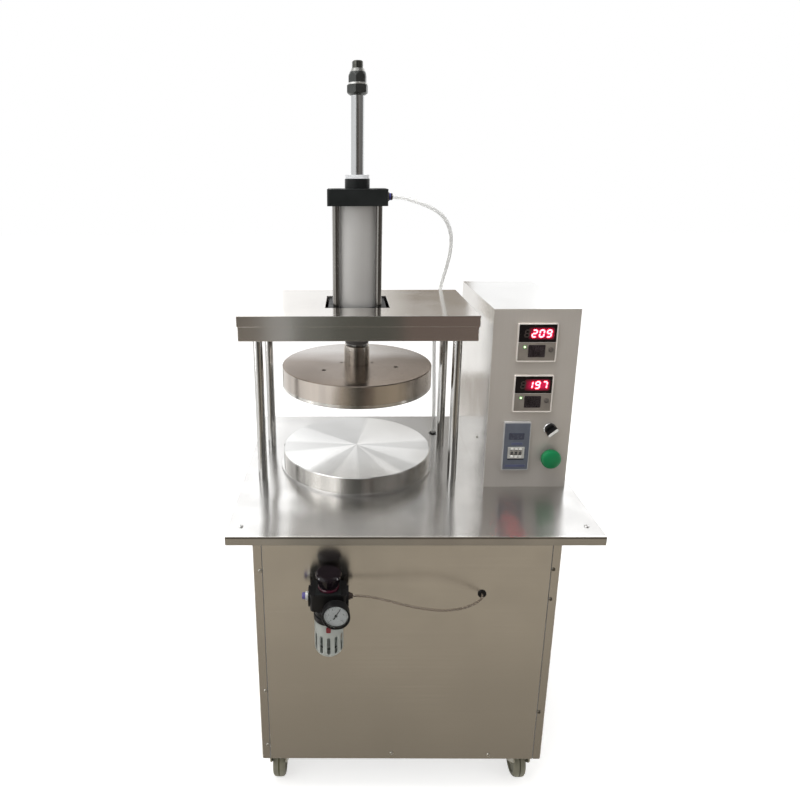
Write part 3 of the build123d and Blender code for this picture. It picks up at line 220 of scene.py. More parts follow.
def surface(
    name,
    color,
    roughness,
    metallic=0.0,
    streak=None,
    turned=None,
    mottle=6.0,
    variation=0.08,
    grain=0.0,
    grain_scale=1500.0,
    wave=0.0,
    wave_scale=5.0,
    wear_and_edge_highlight=0.0,
    tangent=None,
    anisotropy=0.0,
    rotation=0.0,
    transmission=0.0,
    ior=1.45,
    specular=0.5,
    bands=(),
    painted_flank_shading=None,
    painted_sheen_sectors=(),
    painted_reflection_stripes=0.0,
    edge=0.0007,
    painted_reflection_fade=None,
):
    """A procedural finish: brushing or turning marks, blotches, grain, soft waves, and edges painted
    lighter, partly as wear and partly as a painted highlight.

    A band is (axis, from, to, colour); a painted reflection fade is (axis, first, last, last colour); the
    painted sheen fan is a set of bright sectors, a painted highlight; and a flank is a painted tone of
    light or shade on upright faces, which may have upright stripes of painted reflection.
    """
    mat, tree, shader = new_material(name)
    shader.inputs["Metallic"].default_value = metallic
    shader.inputs["Anisotropic"].default_value = anisotropy
    shader.inputs["Anisotropic Rotation"].default_value = rotation
    shader.inputs["Transmission Weight"].default_value = transmission
    shader.inputs["IOR"].default_value = ior
    shader.inputs["Specular IOR Level"].default_value = specular
    blotch = spread(tree, noise(tree, mottle, detail=1.0), 0.0, 1.0, BLOTCH_SPAN, True)
    shade = mix_colors(tree, blotch, tone(color, 1 - variation), tone(color, 1 + variation))
    marks = None
    if streak:
        marks = noise(tree, 1.0, streak, detail=4.0)
    if turned:
        marks = rings(tree, turned, TURNING_SCALE)
    if marks:
        darker = tone(color, 1 - MARK_DARKENING * variation)
        shade = mix_colors(tree, spread(tree, marks, 0.0, MARK_SHARE), shade, darker)
    # Painted highlight: outside the bright sectors of the fan, the colour is painted darker.
    if painted_sheen_sectors:
        painted_sheen_dimming = spread(tree, sheen_fan(tree, turned, painted_sheen_sectors), FAN_SHARE, 0.0, (0.0, 1.0))
        shade = mix_colors(tree, painted_sheen_dimming, shade, tone(color, FAN_TONE))
    # Painted reflection: the colour changes along an axis to another tone, standing in for what the face
    # mirrors.
    if painted_reflection_fade:
        axis, first, last, faded = painted_reflection_fade
        uneven = spread(tree, noise(tree, FADE_SCALE, detail=1.0), -FADE_UNEVENNESS, FADE_UNEVENNESS)
        place = combine(tree, "ADD", own_axes(tree)[axis], uneven)
        shade = mix_colors(tree, spread(tree, place, 0.0, 1.0, (first, last), True), shade, faded)
    # Painted light and shade: upright faces get another tone than level faces, set by the normal.
    if painted_flank_shading:
        geometry = add_node(tree, "ShaderNodeNewGeometry")
        split = add_node(tree, "ShaderNodeSeparateXYZ", Vector=geometry.outputs["Normal"])
        upright = spread(tree, split.outputs["Z"], 1.0, 0.0, UPRIGHT_SPAN)
        shade = mix_colors(tree, upright, shade, painted_flank_shading)
    # Painted reflection: dark upright stripes on the upright faces stand in for streaky reflections.
    if painted_reflection_stripes:
        uneven = spread(tree, noise(tree, STRIPE_SCALE, STRIPE_STRETCH), 0.0, painted_reflection_stripes, STRIPE_SPAN)
        share = combine(tree, "MULTIPLY", uneven, upright)
        shade = mix_colors(tree, share, shade, tone(painted_flank_shading, STRIPE_TONE))
    for axis, low, high, band_color in bands:
        place = own_axes(tree)[axis]
        above = combine(tree, "GREATER_THAN", place, low)
        below = combine(tree, "LESS_THAN", place, high)
        shade = mix_colors(tree, combine(tree, "MULTIPLY", above, below), shade, band_color)
    bevel = add_node(tree, "ShaderNodeBevel", Radius=edge)
    bevel.samples = BEVEL_SAMPLES
    # Edges are painted lighter: partly wear, partly a painted highlight where the edges catch the light.
    if wear_and_edge_highlight:
        geometry = add_node(tree, "ShaderNodeNewGeometry")
        agree = add_node(tree, "ShaderNodeVectorMath")
        agree.operation = "DOT_PRODUCT"
        tree.links.new(geometry.outputs["Normal"], agree.inputs[0])
        tree.links.new(bevel.outputs["Normal"], agree.inputs[1])
        worn_and_lit_edge = spread(tree, agree.outputs["Value"], wear_and_edge_highlight, 0.0, EDGE_SPAN)
        shade = mix_colors(tree, worn_and_lit_edge, shade, tone(color, 1.0 + EDGE_BRIGHTENING * wear_and_edge_highlight))
    tree.links.new(shade, shader.inputs["Base Color"])
    scuff = noise(tree, mottle * SCUFF_FINENESS, detail=1.0)
    rough = spread(tree, scuff, roughness * SCUFF_LOW, roughness * SCUFF_HIGH, BLOTCH_SPAN, True)
    tree.links.new(rough, shader.inputs["Roughness"])
    normal = bevel.outputs["Normal"]
    if wave:
        height = noise(tree, wave_scale, detail=1.0)
        node = add_node(tree, "ShaderNodeBump", Height=height, Normal=normal, Distance=wave, Strength=1.0)
        normal = node.outputs["Normal"]
    if marks:
        node = add_node(
            tree, "ShaderNodeBump", Height=marks, Normal=normal, Distance=MARK_HEIGHT, Strength=0.5
        )
        normal = node.outputs["Normal"]
    if grain:
        height = noise(tree, grain_scale, detail=2.0)
        node = add_node(tree, "ShaderNodeBump", Height=height, Normal=normal, Distance=grain, Strength=0.6)
        normal = node.outputs["Normal"]
    tree.links.new(normal, shader.inputs["Normal"])
    if tangent:
        node = tree.nodes.new("ShaderNodeTangent")
        node.direction_type = "RADIAL"
        node.axis = tangent
        tree.links.new(node.outputs["Tangent"], shader.inputs["Tangent"])
    return mat


def glow(name, color, strength, soft=False):
    """A lit segment, lamp or backlight, a little uneven; a backlight fades out towards its edges."""
    mat, tree, shader = new_material(name)
    shader.inputs["Roughness"].default_value = 0.3
    shader.inputs["Specular IOR Level"].default_value = 0.2
    shader.inputs["Emission Strength"].default_value = strength
    uneven = spread(tree, noise(tree, GLOW_SCALE), 0.0, 1.0)
    shade = mix_colors(tree, uneven, tone(color, GLOW_TONE), color)
    if soft:
        coords = add_node(tree, "ShaderNodeTexCoord")
        split = add_node(tree, "ShaderNodeSeparateXYZ", Vector=coords.outputs["Generated"])
        for axis, edge, full in BACKLIGHT_EDGES:
            dimmed = spread(tree, split.outputs[axis], BACKLIGHT_LOSS, 0.0, (edge, full))
            shade = mix_colors(tree, dimmed, shade, BACKLIGHT_OFF)
    tree.links.new(shade, shader.inputs["Base Color"])
    tree.links.new(shade, shader.inputs["Emission Color"])
    return mat


# Directions of brushing, as the stretch of the noise
ALONG_X = (3.0, 700.0, 700.0)
ALONG_Y = (700.0, 3.0, 700.0)
ALONG_Z = (700.0, 700.0, 3.0)

# The sheet steel finishes, from panel_steel to cover_steel, are one stainless steel. Their base tones
# differ part by part to stand in for how each part is lit and what it mirrors, which is painted light and
# shade.
panel_steel = surface(
    "panel_steel", (0.62, 0.6, 0.57), 0.23, 1.0, ALONG_X, variation=0.04, wave=0.0008, wave_scale=4.0,
    wear_and_edge_highlight=0.02, tangent="X", anisotropy=0.65,
)
side_steel = surface(
    "side_steel", (0.565, 0.545, 0.52), 0.235, 1.0, ALONG_Y, variation=0.04, wave=0.0008, wave_scale=4.0,
    wear_and_edge_highlight=0.02,
)
# Painted light and shade on the table: its upright faces have a darker tone, a light lip along the front
# edge is a painted highlight on the rounded fold, and a dark line under the top is painted shade in the
# fold.
table_steel = surface(
    "table_steel", (0.72, 0.715, 0.705), 0.235, 1.0, variation=0.03, wave=0.003, wave_scale=7.0,
    wear_and_edge_highlight=0.04, tangent="X", anisotropy=1.0, painted_flank_shading=(0.515, 0.505, 0.49), edge=0.0016,
    bands=[
        ("Y", table_front + 0.00015, table_front + 0.00385, (1.0, 0.99, 0.97)),
        ("Z", table_top - 0.0036, table_top - 0.0014, (0.15, 0.14, 0.13)),
    ],
)
beam_steel = surface(
    "beam_steel", (0.86, 0.83, 0.79), 0.15, 1.0, ALONG_X, variation=0.05, wave=0.0006, wave_scale=7.0,
    wear_and_edge_highlight=0.05, tangent="X", anisotropy=0.5, edge=0.0016,
)
# Painted light and shade on the box: a near-white top and a darker tone on its upright faces.
box_steel = surface(
    "box_steel", (0.96, 0.96, 0.95), 0.18, 1.0, variation=0.02, wave=0.0012, wave_scale=7.0,
    wear_and_edge_highlight=0.03, tangent="Y", anisotropy=0.3, painted_flank_shading=(0.58, 0.56, 0.53),
)
fascia_steel = surface(
    "fascia_steel", (0.55, 0.515, 0.475), 0.48, 0.5, ALONG_Z, variation=0.03, wave=0.0003, wear_and_edge_highlight=0.04,
)
# Painted reflection on the cover: its top is dark brown at the front and fades to pale towards the back,
# and its upright faces have a painted tone with painted reflection stripes.
cover_steel = surface(
    "cover_steel", (0.26, 0.21, 0.17), 0.2, 1.0, ALONG_X, variation=0.04, wave=0.0002, wave_scale=14.0,
    wear_and_edge_highlight=0.03, tangent="Z", anisotropy=0.8, painted_flank_shading=(0.5, 0.45, 0.405), painted_reflection_stripes=0.35,
    painted_reflection_fade=("Y", 0.05, 0.13, (0.6, 0.57, 0.545)),
)
# Painted highlight and reflection on the platens: a fan of bright sectors on the turned faces, a painted
# tone on upright faces and painted reflection stripes on them.
platen_steel = surface(
    "platen_steel", (0.9, 0.9, 0.89), 0.22, 1.0, turned=(press_x, press_y), variation=0.04, wear_and_edge_highlight=0.05,
    tangent="Z", anisotropy=0.85, rotation=0.25, painted_flank_shading=(0.66, 0.64, 0.605), painted_reflection_stripes=0.5,
    painted_sheen_sectors=((43, 36), (-25, 14), (-61, 4), (-99, 9), (-147, 18), (157, 16)),
)
column_steel = surface(
    "column_steel", (0.44, 0.435, 0.425), 0.18, 1.0, ALONG_Z, variation=0.06, wear_and_edge_highlight=0.03,
)
tie_steel = surface(
    "tie_steel", (0.25, 0.24, 0.225), 0.23, 1.0, ALONG_Z, variation=0.08, wear_and_edge_highlight=0.03,
)
coupling_steel = surface(
    "coupling_steel", (0.52, 0.49, 0.45), 0.23, 1.0, ALONG_Z, variation=0.08, wear_and_edge_highlight=0.06,
)
rod_steel = surface(
    "rod_steel", (0.56, 0.57, 0.575), 0.16, 1.0, ALONG_Z, variation=0.06, wear_and_edge_highlight=0.03,
    bands=[("Z", 1.3585, 1.4, (0.14, 0.14, 0.12))],
)
plate_paint = surface("plate_paint", (0.3, 0.3, 0.3), 0.5, 0.3, grain=0.00005, wear_and_edge_highlight=0.1)
zinc = surface("zinc", (0.6, 0.58, 0.53), 0.32, 1.0, mottle=40.0, variation=0.12, grain=0.00004, wear_and_edge_highlight=0.06)
# Painted shade: a darker copy of the screw finish, for the screws on the shaded right strip.
shaded_screw_steel = surface("shaded_screw_steel", (0.2, 0.185, 0.16), 0.3, 1.0, mottle=40.0, variation=0.12, wear_and_edge_highlight=0.08)
bright_screw = surface("bright_screw", (0.86, 0.86, 0.85), 0.2, 1.0, mottle=40.0, variation=0.06, wear_and_edge_highlight=0.04)
chrome = surface(
    "chrome", (0.6, 0.6, 0.6), 0.15, 1.0, mottle=60.0, variation=0.03, wear_and_edge_highlight=0.03,
    bands=[("Z", 0.0, 0.685, (0.02, 0.02, 0.02))],
)
# The light band on the nuts is a bright washer; the lighter band at the top of the lock nut is a painted
# highlight on its facets.
dark_nut = surface(
    "dark_nut", (0.075, 0.078, 0.075), 0.3, 0.9, mottle=60.0, variation=0.1, wear_and_edge_highlight=0.12,
    bands=[("Z", 1.3318, 1.3352, (0.7, 0.7, 0.68)), ("Z", 1.3535, 1.3592, (0.4, 0.4, 0.38))],
)
barrel_metal = surface(
    "barrel_metal", (0.58, 0.57, 0.555), 0.5, 0.55, ALONG_Z, variation=0.04, wear_and_edge_highlight=0.03,
    tangent="Z", anisotropy=0.7,
)
black_paint = surface(
    "black_paint", (0.012, 0.0135, 0.0135), 0.42, 0.0, mottle=30.0, variation=0.2, grain=0.00006, wear_and_edge_highlight=0.2,
    specular=0.25, bands=[("Z", 0.845, 0.8866, (0.13, 0.125, 0.12))],
)
caster_metal = surface(
    "caster_metal", (0.33, 0.31, 0.24), 0.42, 0.85, mottle=45.0, variation=0.16, grain=0.00006, wear_and_edge_highlight=0.08
)
wheel_rubber = surface(
    "wheel_rubber", (0.22, 0.21, 0.155), 0.6, 0.0, mottle=50.0, variation=0.18, grain=0.0001,
    grain_scale=700.0, wear_and_edge_highlight=0.05, specular=0.3,
    bands=[("X", -0.2517, -0.2493, (0.06, 0.06, 0.02)), ("X", 0.2253, 0.2277, (0.06, 0.055, 0.035))],
)
black_plastic = surface(
    "black_plastic", (0.008, 0.0078, 0.008), 0.34, 0.0, mottle=60.0, variation=0.15, grain=0.00005,
    wear_and_edge_highlight=0.15, specular=0.22,
)
gloss_plastic = surface(
    "gloss_plastic", (0.008, 0.005, 0.007), 0.12, 0.0, mottle=40.0, variation=0.15, wear_and_edge_highlight=0.02, specular=0.4,
    bands=[("Z", 0.5038, 0.5088, (0.05, 0.006, 0.016))],
)
cream_plastic = surface(
    "cream_plastic", (0.68, 0.63, 0.58), 0.45, 0.0, mottle=40.0, variation=0.05, grain=0.00004, wear_and_edge_highlight=0.05
)
timer_plastic = surface(
    "timer_plastic", (0.46, 0.45, 0.44), 0.45, 0.0, mottle=40.0, variation=0.05, grain=0.00004, wear_and_edge_highlight=0.05
)
timer_blue = surface(
    "timer_blue", (0.108, 0.12, 0.148), 0.42, 0.0, mottle=50.0, variation=0.08, grain=0.00002, wear_and_edge_highlight=0.05
)
window_blue = surface("window_blue", (0.05, 0.055, 0.08), 0.25, 0.0, mottle=80.0, variation=0.1)
bar_blue = surface("bar_blue", (0.09, 0.1, 0.17), 0.35, 0.0, mottle=80.0, variation=0.1)
white_plastic = surface(
    "white_plastic", (0.72, 0.71, 0.67), 0.4, 0.0, mottle=60.0, variation=0.05, grain=0.00003, wear_and_edge_highlight=0.03
)
ink = surface("ink", (0.012, 0.012, 0.013), 0.5, 0.0, mottle=200.0, variation=0.2, specular=0.2)
green_plastic = surface(
    "green_plastic", (0.006, 0.185, 0.062), 0.32, 0.0, mottle=40.0, variation=0.07, grain=0.00003,
    wear_and_edge_highlight=0.1, specular=0.4,
)
red_plastic = surface("red_plastic", (0.21, 0.018, 0.025), 0.36, 0.0, mottle=60.0, variation=0.1, wear_and_edge_highlight=0.05)
grey_plastic = surface(
    "grey_plastic", (0.38, 0.4, 0.37), 0.36, 0.0, mottle=50.0, variation=0.06, grain=0.00004, wear_and_edge_highlight=0.05
)
fitting_plastic = surface(
    "fitting_plastic", (0.03, 0.02, 0.015), 0.32, 0.0, mottle=80.0, variation=0.1, wear_and_edge_highlight=0.05,
    bands=[
        ("X", -0.2, -0.1855, (0.1, 0.085, 0.25)),
        ("X", -0.1855, -0.18, (0.5, 0.5, 0.48)),
        ("X", -0.0335, -0.0305, (0.04, 0.045, 0.19)),
    ],
)
dial_white = surface("dial_white", (0.31, 0.31, 0.305), 0.4, 0.0, mottle=90.0, variation=0.04)
display_black = surface(
    "display_black", (0.008, 0.006, 0.006), 0.2, 0.0, mottle=60.0, variation=0.2, specular=0.25
)
display_red = glow("display_red", (0.32, 0.004, 0.035), 1.2, soft=True)
digit_light = glow("digit_light", (1.0, 0.055, 0.065), 22.0)
digit_dark = surface("digit_dark", (0.045, 0.034, 0.03), 0.3, 0.0, mottle=90.0, variation=0.1, specular=0.2)
lamp_green = glow("lamp_green", (0.62, 1.0, 0.5), 1.2)
lamp_ring = surface("lamp_ring", (0.1, 0.17, 0.06), 0.4, 0.0, mottle=90.0, variation=0.1)
panel_grey = surface(
    "panel_grey", (0.2, 0.175, 0.148), 0.45, 0.0, mottle=60.0, variation=0.08, grain=0.00003
)
knob_grey = surface("knob_grey", (0.085, 0.075, 0.065), 0.4, 0.0, mottle=80.0, variation=0.1, wear_and_edge_highlight=0.08)
preset_dark = surface(
    "preset_dark", (0.035, 0.026, 0.028), 0.3, 0.0, mottle=90.0, variation=0.15, specular=0.3
)
block_grey = surface(
    "block_grey", (0.45, 0.44, 0.41), 0.4, 0.0, mottle=60.0, variation=0.05, grain=0.00003, wear_and_edge_highlight=0.1
)
wiper_white = surface("wiper_white", (0.86, 0.87, 0.88), 0.4, 0.0, mottle=60.0, variation=0.03, wear_and_edge_highlight=0.03)
wheel_grey = surface("wheel_grey", (0.36, 0.335, 0.3), 0.45, 0.0, mottle=90.0, variation=0.08, specular=0.3)
clear_plastic = surface(
    "clear_plastic", (0.93, 0.95, 0.95), 0.06, 0.0, mottle=40.0, variation=0.02, transmission=1.0, ior=1.3
)
milky_tube = surface(
    "milky_tube", (0.93, 0.93, 0.92), 0.14, 0.0, mottle=30.0, variation=0.03, transmission=0.45, ior=1.08
)
clear_tube = surface(
    "clear_tube", (0.3, 0.25, 0.2), 0.2, 0.0, mottle=30.0, variation=0.03, transmission=0.6, ior=1.35
)
heater_metal = surface("heater_metal", (0.2, 0.17, 0.15), 0.5, 0.8, mottle=80.0, variation=0.25)

# The nodes that each finish goes on
finishes = {
    panel_steel: ["front_panel", "rear_panel"],
    side_steel: ["left_side_panel", "right_side_panel"],
    table_steel: ["table_top", "lower_platen_seat"],
    beam_steel: ["beam_tray", "beam_cover"],
    box_steel: ["control_box_shell"],
    fascia_steel: ["control_box_fascia"],
    cover_steel: ["upper_platen_cover"],
    platen_steel: ["lower_platen", "upper_platen"],
    column_steel: ["columns"],
    tie_steel: ["tie_rods"],
    coupling_steel: ["rod_coupling"],
    rod_steel: ["piston_rod"],
    plate_paint: ["base_plate", "corner_posts", "bed_plate", "press_plate"],
    zinc: ["column_nuts"],
    dark_nut: ["stroke_nuts"],
    barrel_metal: ["cylinder_barrel", "piston"],
    black_paint: ["cylinder_bottom_head", "cylinder_top_head", "regulator_bracket"],
    caster_metal: ["front_caster_plates", "left_caster_fork", "right_caster_fork", "rear_caster_frames"],
    wheel_rubber: ["front_left_wheel", "front_right_wheel", "rear_left_wheel", "rear_right_wheel"],
    black_plastic: ["gauge_case", "selector_knob", "regulator_body", "bushings", "solenoid_valve"],
    chrome: ["switch_sleeves"],
    gloss_plastic: ["regulator_knob"],
    cream_plastic: ["temperature_controllers"],
    timer_plastic: ["timer"],
    wiper_white: ["rod_wiper"],
    wheel_grey: ["hundreds_thumbwheel", "tens_thumbwheel", "units_thumbwheel"],
    green_plastic: ["green_button"],
    red_plastic: ["bowl_lock_tab"],
    grey_plastic: ["bowl_guard"],
    fitting_plastic: ["air_fittings"],
    clear_plastic: ["gauge_lens", "filter_bowl"],
    milky_tube: ["cylinder_hose"],
    clear_tube: ["regulator_hose"],
    ink: ["gauge_needle"],
    heater_metal: ["lower_heater", "upper_heater"],
}
for finish, names in finishes.items():
    for name in names:
        node_object = nodes[name]
        node_object.data.materials.clear()
        node_object.data.materials.append(finish)


# Shapes


def facing(place, normal, up=(0, 0, 1)):
    """A frame at a place whose own z looks along the normal and whose own y is up."""
    z = Vector(normal).normalized()
    x = Vector(up).cross(z).normalized()
    y = z.cross(x)
    return Matrix.Translation(Vector(place)) @ Matrix((x, y, z)).transposed().to_4x4()


def front(x, y, z):
    return facing((x, y, z), (0, -1, 0))


def turn(angle):
    return Matrix.Rotation(math.radians(angle), 4, "Z")


SHARP_ANGLE = 32


def piece(name, bm, mat, body, smooth=True):
    """Makes a piece from a bmesh and lets it ride on a body."""
    bmesh.ops.recalc_face_normals(bm, faces=bm.faces)
    mesh = bpy.data.meshes.new(name)
    bm.to_mesh(mesh)
    bm.free()
    mesh.materials.append(mat)
    if smooth:
        mesh.shade_smooth()
        mesh.set_sharp_from_angle(angle=math.radians(SHARP_ANGLE))
    made = bpy.data.objects.new(name, mesh)
    scene.collection.objects.link(made)
    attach(made, body)


def loop_stack(bm, loops, matrix, close_start=True, close_end=True):
    """Joins loops of equal length into a skin and caps its ends."""
    made = [[bm.verts.new(matrix @ Vector(p)) for p in loop] for loop in loops]
    for a, b in zip(made, made[1:]):
        for i in range(len(a)):
            j = (i + 1) % len(a)
            bm.faces.new((a[i], a[j], b[j], b[i]))
    if close_start:
        bm.faces.new(list(reversed(made[0])))
    if close_end:
        bm.faces.new(made[-1])


def rounded(width, height, corner, steps=4):
    """The outline of a rectangle with rounded corners."""
    points = []
    for sx, sy, first in ((1, 1, 0), (-1, 1, 90), (-1, -1, 180), (1, -1, 270)):
        for i in range(steps + 1):
            angle = math.radians(first + 90 * i / steps)
            x = sx * (width / 2 - corner) + corner * math.cos(angle)
            y = sy * (height / 2 - corner) + corner * math.sin(angle)
            points.append((x, y))
    return points


def plate(bm, matrix, width, height, depth, corner=0.001, edge=0.0003):
    """A rounded plate that stands on its frame's xy plane, with a softened front edge."""
    outer = rounded(width, height, corner)
    inner = rounded(width - 2 * edge, height - 2 * edge, max(corner - edge, 0.0001))
    loops = [
        [(x, y, 0.0) for x, y in outer],
        [(x, y, depth - edge) for x, y in outer],
        [(x, y, depth) for x, y in inner],
    ]
    loop_stack(bm, loops, matrix)


def frame_plate(bm, matrix, outer, inner, shift, depth, corner, edge=0.0003):
    """A rounded plate with a rectangular opening."""
    out = rounded(*outer, corner)
    out_in = rounded(outer[0] - 2 * edge, outer[1] - 2 * edge, corner)
    hole = [(x + shift[0], y + shift[1]) for x, y in rounded(*inner, corner / 2)]
    loops = [
        [(x, y, 0.0) for x, y in hole],
        [(x, y, 0.0) for x, y in out],
        [(x, y, depth - edge) for x, y in out],
        [(x, y, depth) for x, y in out_in],
        [(x, y, depth) for x, y in hole],
        [(x, y, 0.0) for x, y in hole],
    ]
    loop_stack(bm, loops, matrix, False, False)
    bmesh.ops.remove_doubles(bm, verts=bm.verts, dist=1e-7)


def lathe(bm, matrix, outline, segments):
    """A turned form about its frame's z axis; the outline holds (radius, height) points."""
    angles = [2 * math.pi * i / segments for i in range(segments)]
    loops = []
    for radius, height in outline:
        loops.append([(radius * math.cos(angle), radius * math.sin(angle), height) for angle in angles])
    loop_stack(bm, loops, matrix)


def plate_piece(name, mat, matrix, body="machine", **size):
    """A piece that is one rounded plate."""
    bm = bmesh.new()
    plate(bm, matrix, **size)
    piece(name, bm, mat, body)


def lathe_piece(name, mat, matrix, outline, segments):
    """A piece of the machine that is one turned form."""
    bm = bmesh.new()
    lathe(bm, matrix, outline, segments)
    piece(name, bm, mat, "machine")


def cross_radius(angle, half_width, length):
    """How far a cross-shaped recess reaches at an angle."""
    folded = (angle + math.pi / 4) % (math.pi / 2) - math.pi / 4
    if abs(math.tan(folded)) * length <= half_width:
        return length / math.cos(folded)
    return half_width / abs(math.sin(folded))


# A pan head's profile and its recess, as shares of its radius and height
HEAD_PROFILE = ((1.0, 0.0), (1.0, 0.35), (0.9, 0.75), (0.7, 1.0))
HEAD_SEGMENTS = 48
RECESS_WIDTH = 0.16
RECESS_LENGTH = 0.55
RECESS_TAPER = 0.8
RECESS_BOTTOM = 0.3
SCREW_SPIN = 0.7


def screw_head(bm, matrix, radius, height, spin):
    """A pan head with a cross recess."""
    angles = [2 * math.pi * i / HEAD_SEGMENTS for i in range(HEAD_SEGMENTS)]
    recess = [cross_radius(angle, radius * RECESS_WIDTH, radius * RECESS_LENGTH) for angle in angles]
    ways = [(math.cos(angle + spin), math.sin(angle + spin)) for angle in angles]
    loops = []
    for out, up in HEAD_PROFILE:
        loops.append([(radius * out * c, radius * out * s, height * up) for c, s in ways])
    for out, up in ((1.0, 1.0), (RECESS_TAPER, RECESS_BOTTOM)):
        loops.append([(r * out * c, r * out * s, height * up) for r, (c, s) in zip(recess, ways)])
    loop_stack(bm, loops, matrix)


def screws(name, places, normal, radius=0.0034, height=0.0016, up=(0, 0, 1), mat=zinc):
    """Screw heads on a face of the machine, each turned another way."""
    bm = bmesh.new()
    for i, place in enumerate(places):
        screw_head(bm, facing(place, normal, up), radius, height, SCREW_SPIN * i)
    piece(name, bm, mat, "machine")


def lettering(bm, text, size, matrix, depth):
    """Flat numerals, centred on the frame's origin."""
    curve = bpy.data.curves.new("numerals", "FONT")
    curve.body = text
    curve.size = size
    curve.align_x = "CENTER"
    curve.align_y = "CENTER"
    curve.extrude = depth / 2
    holder = bpy.data.objects.new("numerals", curve)
    scene.collection.objects.link(holder)
    bpy.context.view_layer.update()
    mesh = bpy.data.meshes.new_from_object(holder)
    mesh.transform(matrix @ Matrix.Translation((0, 0, depth / 2)))
    bm.from_mesh(mesh)
    bpy.data.objects.remove(holder)
    bpy.data.curves.remove(curve)
    bpy.data.meshes.remove(mesh)


# Air hoses on the routes of the solids: ports in metres, and the steps from each port in millimetres

cylinder_port = Vector((-0.03825, press_y, 1.135))
table_bush = Vector((0.088, 0.19375, table_top))
outlet_port = Vector((-0.112, regulator_y, 0.486))
panel_bush = Vector((0.121, cabinet_front, 0.469))

cylinder_route = [
    (
        cylinder_port,
        [
            (2.0, 0, 0), (27.25, 0, 0), (46.75, 5.75, -6.0), (67.25, 14.75, -12.5), (89.25, 30.25, -21.5),
            (111.25, 51.25, -34.0), (128.75, 72.75, -52.5), (138.75, 89.75, -72.5), (144.25, 105.25, -95.0),
            (144.75, 119.25, -121.0), (141.25, 131.75, -149.0), (135.25, 141.75, -178.0),
            (129.25, 149.0, -210.0),
        ],
    ),
    (
        table_bush,
        [
            (-2.0, 10.75, 295.0), (-3.5, 12.25, 242.0), (-2.5, 11.25, 180.0), (-0.5, 8.0, 118.0),
            (0.5, 3.75, 66.0), (0, 0, 26.0), (0, 0, -14.5),
        ],
    ),
]
regulator_route = [
    (
        outlet_port,
        [
            (2.0, 0, 0), (22.0, 0, 0), (41.75, -2.0, -1.5), (64.0, -6.5, -4.25), (86.75, -12.0, -6.75),
            (110.75, -17.0, -9.5),
        ],
    ),
    (
        panel_bush,
        [
            (-98.5, -48.5, 5.75), (-77.5, -49.0, 4.25), (-57.5, -45.5, 2.75), (-39.5, -38.5, 0.75),
            (-24.25, -29.5, -0.75), (-12.25, -20.5, -1.5), (-4.0, -12.5, -1.25), (0, -5.75, 0), (0, 6.2, 0),
        ],
    ),
]


def hose(name, route, diameter, length, node, mat):
    points = [port + Vector(step) * MM for port, steps in route for step in steps]
    curve = bpy.data.curves.new(name, "CURVE")
    curve.dimensions = "3D"
    curve.bevel_depth = diameter / 2
    curve.bevel_resolution = 6
    curve.use_fill_caps = True
    spline = curve.splines.new("NURBS")
    spline.points.add(len(points) - 1)
    for point, place in zip(spline.points, points):
        point.co = (*place, 1.0)
    spline.order_u = 3
    spline.use_endpoint_u = True
    spline.resolution_u = 10
    curve.materials.append(mat)
    made = bpy.data.objects.new(name, curve)
    scene.collection.objects.link(made)
    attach(made, "machine")
    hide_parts(node)


cylinder_hose = dict(diameter=0.008, length=0.695, node="cylinder_hose", mat=milky_tube)
regulator_hose = dict(diameter=0.004, length=0.26, node="regulator_hose", mat=clear_tube)
hose("air_hose_cylinder", cylinder_route, **cylinder_hose)
hose("air_hose_regulator", regulator_route, **regulator_hose)


# Screws

strip_left = -0.2652
strip_right = 0.2412
bottom_screws = ((-0.031, 0.115), (0.153, 0.112))
front_screws = [(strip_left, cabinet_front, z) for z in (0.515, 0.260, 0.135)]
front_screws += [(x, cabinet_front, z) for x, z in bottom_screws]
screws("front_panel_screws", front_screws, (0, -1, 0))
right_screws = [(strip_right, cabinet_front, z) for z in (0.518, 0.458, 0.213)]
# These screws are like the others, painted darker as shade.
screws("right_strip_screws", right_screws, (0, -1, 0), mat=shaded_screw_steel)
rear_screws = [(x, cabinet_back, z) for x in (strip_left, strip_right) for z in (0.515, 0.335, 0.135)]
rear_screws += [(x, cabinet_back, z) for x, z in bottom_screws]
screws("rear_panel_screws", rear_screws, (0, 1, 0))
box_left = 0.1505
box_right = 0.3075
box_screw_y = 0.012
box_screw_z = 0.660
screws("box_left_screw", [(box_left, box_screw_y, box_screw_z)], (-1, 0, 0), radius=0.0028)
screws("box_right_screw", [(box_right, box_screw_y, box_screw_z)], (1, 0, 0), radius=0.0028)
table_screw_x = 0.298
table_screws = [(x, y, table_top) for x in (-table_screw_x, table_screw_x) for y in (-0.2075, 0.267)]
screws("table_screws", table_screws, (0, 0, 1), radius=0.0042, height=0.002, up=(0, 1, 0), mat=bright_screw)


# Temperature controllers, with each place measured from the middle of the face

SEGMENTS = {"0": "abcdef", "1": "bc", "2": "abdeg", "7": "abc", "8": "abcdefg", "9": "abcdfg"}
SEGMENT_GAP = 0.06
SEGMENT_TIP = 0.5
digit_height = 0.0126
digit_width = 0.0074
digit_pitch = 0.0132
digits_x = 0.007
segment_width = 0.0027
segment_depth = 0.00015
slant = 0.14
face_width = 0.0675
face_corner = 0.0012
display_y = 0.0175
display_depth = 0.0006
display_size = dict(width=face_width, height=0.0325, depth=display_depth, corner=face_corner)
backlight_x = 0.0065
backlight_depth = 0.0001
backlight_size = dict(width=0.047, height=0.0225, depth=backlight_depth, corner=0.004, edge=0.00005)
lower_y = -0.0165
lower_depth = 0.0005
lower_size = dict(width=face_width, height=0.034, depth=lower_depth, corner=face_corner)
lamp_x = -0.0222
lamp_y = -0.0078
ring_outline = [(0.0036, 0), (0.0036, 0.0003), (0.0031, 0.0005)]
